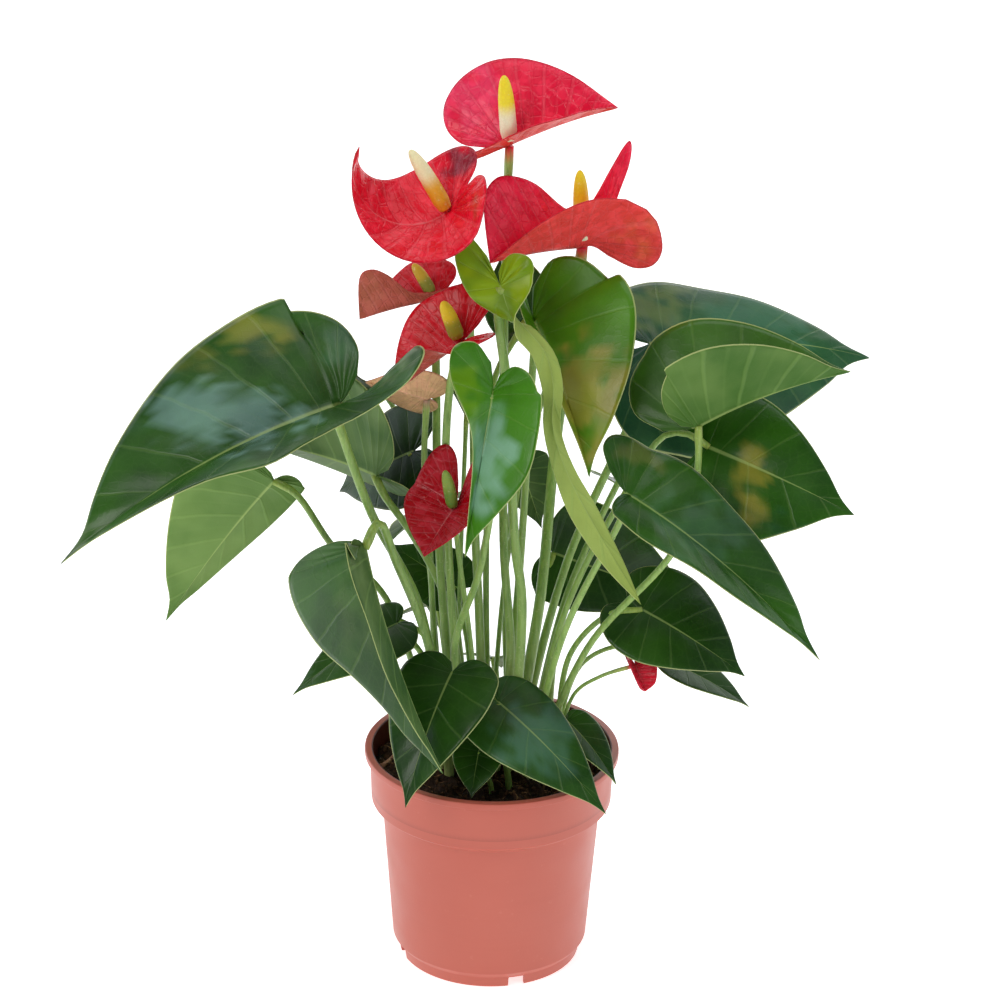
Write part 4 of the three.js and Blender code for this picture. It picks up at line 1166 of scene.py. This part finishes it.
def spadix_material():
    nodes = Nodes("florets")
    dots = nodes.net(620, 0.25)
    specks = nodes.ramp(nodes.noise(500), 0.6, 0.72, 0.0, 0.3)
    colour = nodes.layers(nodes.tint(), ("C08E20", dots, 0.12))
    colour = nodes.blend(colour, plain("FFF8D0"), specks)
    nodes.bump(nodes.noise(1500), 0.0002, 0.6)
    nodes.set(Subsurface_Weight=0.15, Subsurface_Scale=0.002)
    return nodes.set(Base_Color=colour, Roughness=nodes.uneven(800, 0.45, 0.62))


def painted_rim_shade(nodes):
    """Painted shade on the pot's inner wall above the soil, from 0 to 1."""
    where = nodes.add("ShaderNodeSeparateXYZ", {"Vector": nodes.coordinates()})
    x = nodes.math("SUBTRACT", where.outputs["X"], AXIS_X * MM)
    y = where.outputs["Y"]
    radius = nodes.math("SQRT", nodes.plus(nodes.times(x, x), nodes.times(y, y)))
    wall = (COLLAR_RADIUS - 0.4 * WALL) * MM
    inner = nodes.ramp(radius, wall - 0.4 * MM, wall, 1.0, 0.0)
    return nodes.times(inner, nodes.math("GREATER_THAN", where.outputs["Z"], INNER_WALL_FROM * MM))


def pot_material():
    """Satin moulded plastic with faint flow lines and scuffs, with painted shade on the inner wall
    above the soil.
    """
    nodes = Nodes("moulded_plastic")
    ring = nodes.noise(90, 3.0, nodes.stretched((0.2, 0.2, 6)))
    cloud = nodes.noise(9, 3.0)
    scuff = nodes.ramp(nodes.noise(260, 4.0), 0.66, 0.74)
    colour = nodes.blend(plain("BC5A48"), plain("C26250"), nodes.ramp(cloud, 0.35, 0.65))
    colour = nodes.blend(colour, plain("B65442"), nodes.ramp(ring, 0.45, 0.7, 0.0, 0.06))
    # 5E241C darkens the inner wall above the soil: painted shade.
    colour = nodes.layers(colour, ("D88C7B", scuff, 0.1), ("5E241C", painted_rim_shade(nodes), 1.0))
    nodes.bump(nodes.plus(nodes.times(ring, 0.4), nodes.noise(1400)), 0.00006, 0.5)
    rough = nodes.uneven(40, 0.34, 0.46, 3.0)
    return nodes.set(Base_Color=colour, Roughness=rough, Specular_IOR_Level=0.5)


def soil_material(name, base, light):
    nodes = Nodes(name)
    colour = nodes.blend(plain(base), plain(light), nodes.ramp(nodes.noise(420, 5.0), 0.4, 0.7))
    colour = nodes.blend(colour, plain("0C0805"), nodes.ramp(nodes.noise(160, 3.0), 0.5, 0.68))
    nodes.bump(nodes.noise(900, 6.0), 0.0012, 0.9)
    rough = nodes.uneven(300, 0.8, 0.97)
    return nodes.set(Base_Color=colour, Roughness=rough, Specular_IOR_Level=0.2)


# ---------------------------------------------------------------- the pot and the soil


def rounded(profile, radius):
    """The profile with each of its inner corners turned into a short arc."""
    made = [profile[0]]
    for before, corner, after in zip(profile, profile[1:], profile[2:]):
        a, b, c = (Vector(p) for p in (before, corner, after))
        cut = min(radius, 0.4 * (a - b).length, 0.4 * (c - b).length)
        start = b + (a - b).normalized() * cut
        end = b + (c - b).normalized() * cut
        made.extend(tuple(start.lerp(b, t).lerp(b.lerp(end, t), t)) for t in (0, 0.33, 0.67, 1))
    return [*made, profile[-1]]


def turned_mesh(profile, sides):
    """A closed body turned from a profile that starts and ends on the axis."""
    points, faces = [(0, 0, profile[0][1])], []
    rings = profile[1:-1]
    for radius, height in rings:
        points += [(x, y, height) for x, y in circle(radius, sides)]
    points.append((0, 0, profile[-1][1]))
    last = len(points) - 1
    for j in range(sides):
        k = (j + 1) % sides
        faces.append((0, 1 + k, 1 + j))
        faces.append((last, last - sides + j, last - sides + k))
        for i in range(len(rings) - 1):
            a = 1 + i * sides
            faces.append((a + j, a + k, a + sides + k, a + sides + j))
    return points, faces


def pot_cutters():
    """The drain holes in the floor and the notches in the foot ring, as one mesh."""
    form = bmesh.new()
    for i in range(DRAIN_HOLES):
        turn = Matrix.Rotation(2 * math.pi * i / DRAIN_HOLES, 4, "Z")
        move = Matrix.Translation((DRAIN_RING_RADIUS, 0, 0))
        bmesh.ops.create_cone(
            form, cap_ends=True, segments=32, radius1=DRAIN_HOLE_RADIUS, radius2=DRAIN_HOLE_RADIUS,
            depth=4 * FLOOR_TOP, matrix=turn @ move,
        )
    for i in range(NOTCHES):
        turn = Matrix.Rotation(math.radians(NOTCH_TURN - 90 + 360 * i / NOTCHES), 4, "Z")
        move = Matrix.Translation((FOOT_RADIUS, 0, 0))
        size = Matrix.Diagonal((2 * FOOT_WIDTH + 4, NOTCH_WIDTH, 2 * NOTCH_HEIGHT, 1))
        bmesh.ops.create_cube(form, size=1, matrix=turn @ move @ size)
    return form_object("pot_cutters", form, [])


def build_pot():
    shoulder = COLLAR_FOOT - SHOULDER_DROP
    ring = FOOT_RADIUS - FOOT_WIDTH
    lip = POT_HEIGHT - LIP_DROP
    outside = [
        (0, FLOOR_UNDER), (ring, FLOOR_UNDER), (ring, 0), (FOOT_RADIUS, 0),
        (FOOT_RADIUS + FLARE, FOOT_HEIGHT), (WALL_FOOT_RADIUS, FOOT_HEIGHT + FOOT_STEP),
        (SHOULDER_RADIUS, shoulder), (COLLAR_RADIUS - FLARE, COLLAR_FOOT),
        (COLLAR_RADIUS, lip), (RIM_RADIUS, lip), (RIM_RADIUS, POT_HEIGHT),
    ]
    inside = [
        (COLLAR_RADIUS - WALL, POT_HEIGHT), (COLLAR_RADIUS - FLARE - WALL, COLLAR_FOOT + 1),
        (SHOULDER_RADIUS - WALL, shoulder), (WALL_FOOT_RADIUS - WALL, FLOOR_TOP), (0, FLOOR_TOP),
    ]
    points, faces = turned_mesh(rounded([*outside, *inside], EDGE_RADIUS), POT_SIDES)
    pot = mesh_object("pot_fine", points, faces, [pot_material()])
    cutters = pot_cutters()
    cut = pot.modifiers.new("cut", "BOOLEAN")
    cut.operation = "DIFFERENCE"
    cut.object = cutters
    cut.solver = "EXACT"
    graph = bpy.context.evaluated_depsgraph_get()
    made = bpy.data.meshes.new_from_object(pot.evaluated_get(graph))
    pot.modifiers.clear()
    pot.data = made
    bpy.data.objects.remove(cutters)
    pot.data.set_sharp_from_angle(angle=math.radians(50))
    settle(pot, "pot_plastic", "pot")


def soil_height(x, y):
    """The height of the soil's lumps, which bank up at the back of the pot."""
    rough = math.sin(0.31 * x + 1) * math.cos(0.27 * y) + 0.6 * math.sin(0.71 * x + 0.53 * y)
    bank = SOIL_BANK * float(smoothstep(y + 0.3 * x, 20, 45))
    fine = noise.noise(Vector((x, y, 3)) * 0.35) * 1.3 + noise.noise(Vector((x, y, 9)) * 0.9) * 0.7
    return SOIL_TOP + (SOIL_ROUGH * rough + bank) + fine


def build_soil():
    """A closed plug: its lumpy top in rings from the middle out, then its plain sides."""
    bottom = FLOOR_TOP + SOIL_GAP
    sides = [
        (COLLAR_RADIUS - FLARE - WALL - SOIL_GAP, COLLAR_FOOT + 2),
        (SHOULDER_RADIUS - WALL - SOIL_GAP, COLLAR_FOOT - SHOULDER_DROP),
        (WALL_FOOT_RADIUS - WALL - SOIL_GAP, bottom),
    ]
    points = [(0, 0, bottom)]
    for i in range(SOIL_RINGS + 1):
        radius = SOIL_RADIUS * (i + 0.5) / (SOIL_RINGS + 0.5)
        drop = SOIL_EDGE_DROP * float(smoothstep(radius, 52, 56))
        points += [(x, y, soil_height(x, y) - drop) for x, y in circle(radius, SOIL_SIDES)]
    centre = len(points)
    points.append((0, 0, soil_height(0, 0)))
    starts = [1 + SOIL_RINGS * SOIL_SIDES]
    for radius, height in sides:
        starts.append(len(points))
        points += [(x, y, height) for x, y in circle(radius, SOIL_SIDES)]
    faces = []
    for j in range(SOIL_SIDES):
        k = (j + 1) % SOIL_SIDES
        faces.append((centre, 1 + j, 1 + k))
        faces.append((0, starts[-1] + k, starts[-1] + j))
        for a, b in zip(starts, starts[1:]):
            faces.append((a + j, b + j, b + k, a + k))
        for i in range(SOIL_RINGS):
            a = 1 + i * SOIL_SIDES
            faces.append((a + j, a + SOIL_SIDES + j, a + SOIL_SIDES + k, a + k))
    soil = mesh_object("soil_fine", points, faces, [soil_material("peat", "2A1B12", "4A3222")])
    settle(soil, "soil", "soil")


def build_crumbs(dice):
    """Loose crumbs of peat, lying on the soil."""
    form = bmesh.new()
    for _ in range(CRUMBS):
        radius, turn = CRUMB_REACH * math.sqrt(dice.random()), dice.uniform(0, 2 * math.pi)
        x, y = radius * math.cos(turn), radius * math.sin(turn)
        size = dice.uniform(0.4, 1.5) ** 1.3
        angle = dice.uniform(0, 6.3)
        axis = Vector((dice.random(), dice.random(), 1)).normalized()
        spin = Matrix.Rotation(angle, 4, axis)
        stretch = Matrix.Diagonal((1, dice.uniform(0.5, 1), dice.uniform(0.4, 0.8), 1))
        where = Matrix.Translation((x, y, soil_height(x, y) + 0.2 * size)) @ spin @ stretch
        made = bmesh.ops.create_icosphere(form, subdivisions=2, radius=size, matrix=where)
        for v in made["verts"]:
            v.co += v.normal * 0.25 * size * noise.noise(v.co * 1.1)
    crumbs = form_object("soil_crumbs", form, [soil_material("crumb", "3A2718", "6A4C33")])
    settle(crumbs, "soil")


def build_fibres(dice):
    """Thin curling fibres, lying on the soil."""
    points, faces = [], []
    for _ in range(FIBRES):
        radius, turn = FIBRE_REACH * math.sqrt(dice.random()), dice.uniform(0, 2 * math.pi)
        spot = np.array([radius * math.cos(turn), radius * math.sin(turn)])
        heading, curl = dice.uniform(0, 6.3), dice.uniform(-0.5, 0.5)
        passed = []
        for step in range(5):
            turn = heading + curl * step
            reach = spot + step * FIBRE_STEP * np.array([math.cos(turn), math.sin(turn)])
            if np.linalg.norm(reach) > CRUMB_REACH:
                break
            passed.append([*reach, soil_height(*reach) + 0.3])
        if len(passed) < 3:
            continue
        width = dice.uniform(0.12, 0.3)
        more, more_faces = tube(curve_points(passed, 12)[0], lambda step, turn: width, 6)
        faces += [[len(points) + c for c in face] for face in more_faces]
        points += list(more)
    fibres = mesh_object("soil_fibres", points, faces, [soil_material("fibre", "6B4A30", "A07C56")])
    settle(fibres, "soil")


def build_root():
    """A pale root that lies on the soil by the rim."""
    passed = [[x, y, soil_height(x, y) + 0.6] for x, y in ROOT_PATH]
    centres, _ = curve_points(passed, ROOT_STEPS)
    points, faces = tube(centres, lambda step, turn: ROOT_WIDTH * (1 - 0.5 * step / ROOT_STEPS), 12)
    root = mesh_object("soil_root", points, faces, [soil_material("root", "B8806A", "D9A88E")])
    settle(root, "soil")


# ---------------------------------------------------------------- building the studio


def stage_material():
    nodes = Nodes("paper")
    colour = nodes.blend(plain("FFFFFF"), plain("FBFBFB"), nodes.noise(3))
    nodes.set(Emission_Color=(1, 1, 1, 1), Emission_Strength=0.7)
    return nodes.set(Base_Color=colour, Roughness=0.9)


def build_stage():
    """A floor that curves up into a backdrop."""
    profile = [(STAGE_FRONT, 0)]
    for i in range(STAGE_STEPS + 1):
        turn = math.pi / 2 * i / STAGE_STEPS
        forward = STAGE_BACK - STAGE_BEND + STAGE_BEND * math.sin(turn)
        profile.append((forward, STAGE_BEND - STAGE_BEND * math.cos(turn)))
    profile.append((STAGE_BACK, STAGE_TOP))
    points = [(side * STAGE_SIDE, y, z) for y, z in profile for side in (-1, 1)]
    faces = [(2 * i, 2 * i + 1, 2 * i + 3, 2 * i + 2) for i in range(len(profile) - 1)]
    mesh = bpy.data.meshes.new("stage")
    mesh.from_pydata(points, [], faces)
    mesh.materials.append(stage_material())
    mesh.polygons.foreach_set("use_smooth", [True] * len(mesh.polygons))
    stage = bpy.data.objects.new("stage", mesh)
    bpy.context.scene.collection.objects.link(stage)


def build_lights():
    for name, (spot, (across, up), power, colour) in LAMPS.items():
        lamp = bpy.data.lights.new(name, "AREA")
        lamp.shape = "RECTANGLE"
        lamp.size = across
        lamp.size_y = up
        lamp.energy = power
        lamp.color = colour
        holder = bpy.data.objects.new(name, lamp)
        holder.location = spot
        holder.rotation_euler = (PLANT_MIDDLE - Vector(spot)).to_track_quat("-Z", "Y").to_euler()
        bpy.context.scene.collection.objects.link(holder)
    world = bpy.data.worlds.new("studio")
    world.use_nodes = True
    background = world.node_tree.nodes["Background"]
    background.inputs["Color"].default_value = WORLD_COLOUR
    background.inputs["Strength"].default_value = WORLD_STRENGTH
    bpy.context.scene.world = world


def build_camera():
    camera = bpy.data.cameras.new("camera")
    camera.lens = LENS
    camera.sensor_width = SENSOR
    camera.clip_end = 20
    holder = bpy.data.objects.new("camera", camera)
    tilt = Matrix.Rotation(math.radians(90 - LOOK_DOWN), 4, "X")
    roll = Matrix.Rotation(math.radians(CAMERA_ROLL), 4, "Z")
    holder.matrix_world = Matrix.Translation(CAMERA_PLACE) @ tilt @ roll
    bpy.context.scene.collection.objects.link(holder)
    bpy.context.scene.camera = holder


# ---------------------------------------------------------------- everything together


def main():
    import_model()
    bpy.context.scene.view_settings.view_transform = "Standard"
    build_camera()
    build_stage()
    build_lights()
    build_pot()
    build_soil()
    dice = random.Random(SOIL_SEED)
    build_crumbs(dice)
    build_fibres(dice)
    build_root()
    petiole = stem_material()
    leaf_materials = [leaf_material("leaf_face", True), leaf_material("leaf_back", False), petiole]
    for plant in LEAVES:
        build_leaf(plant, leaf_materials)
    spathe_materials = [spathe_material("spathe_face", True), spathe_material("spathe_back", False)]
    florets = spadix_material()
    for plant in BLOOMS:
        build_bloom(plant, spathe_materials, petiole, florets)


main()
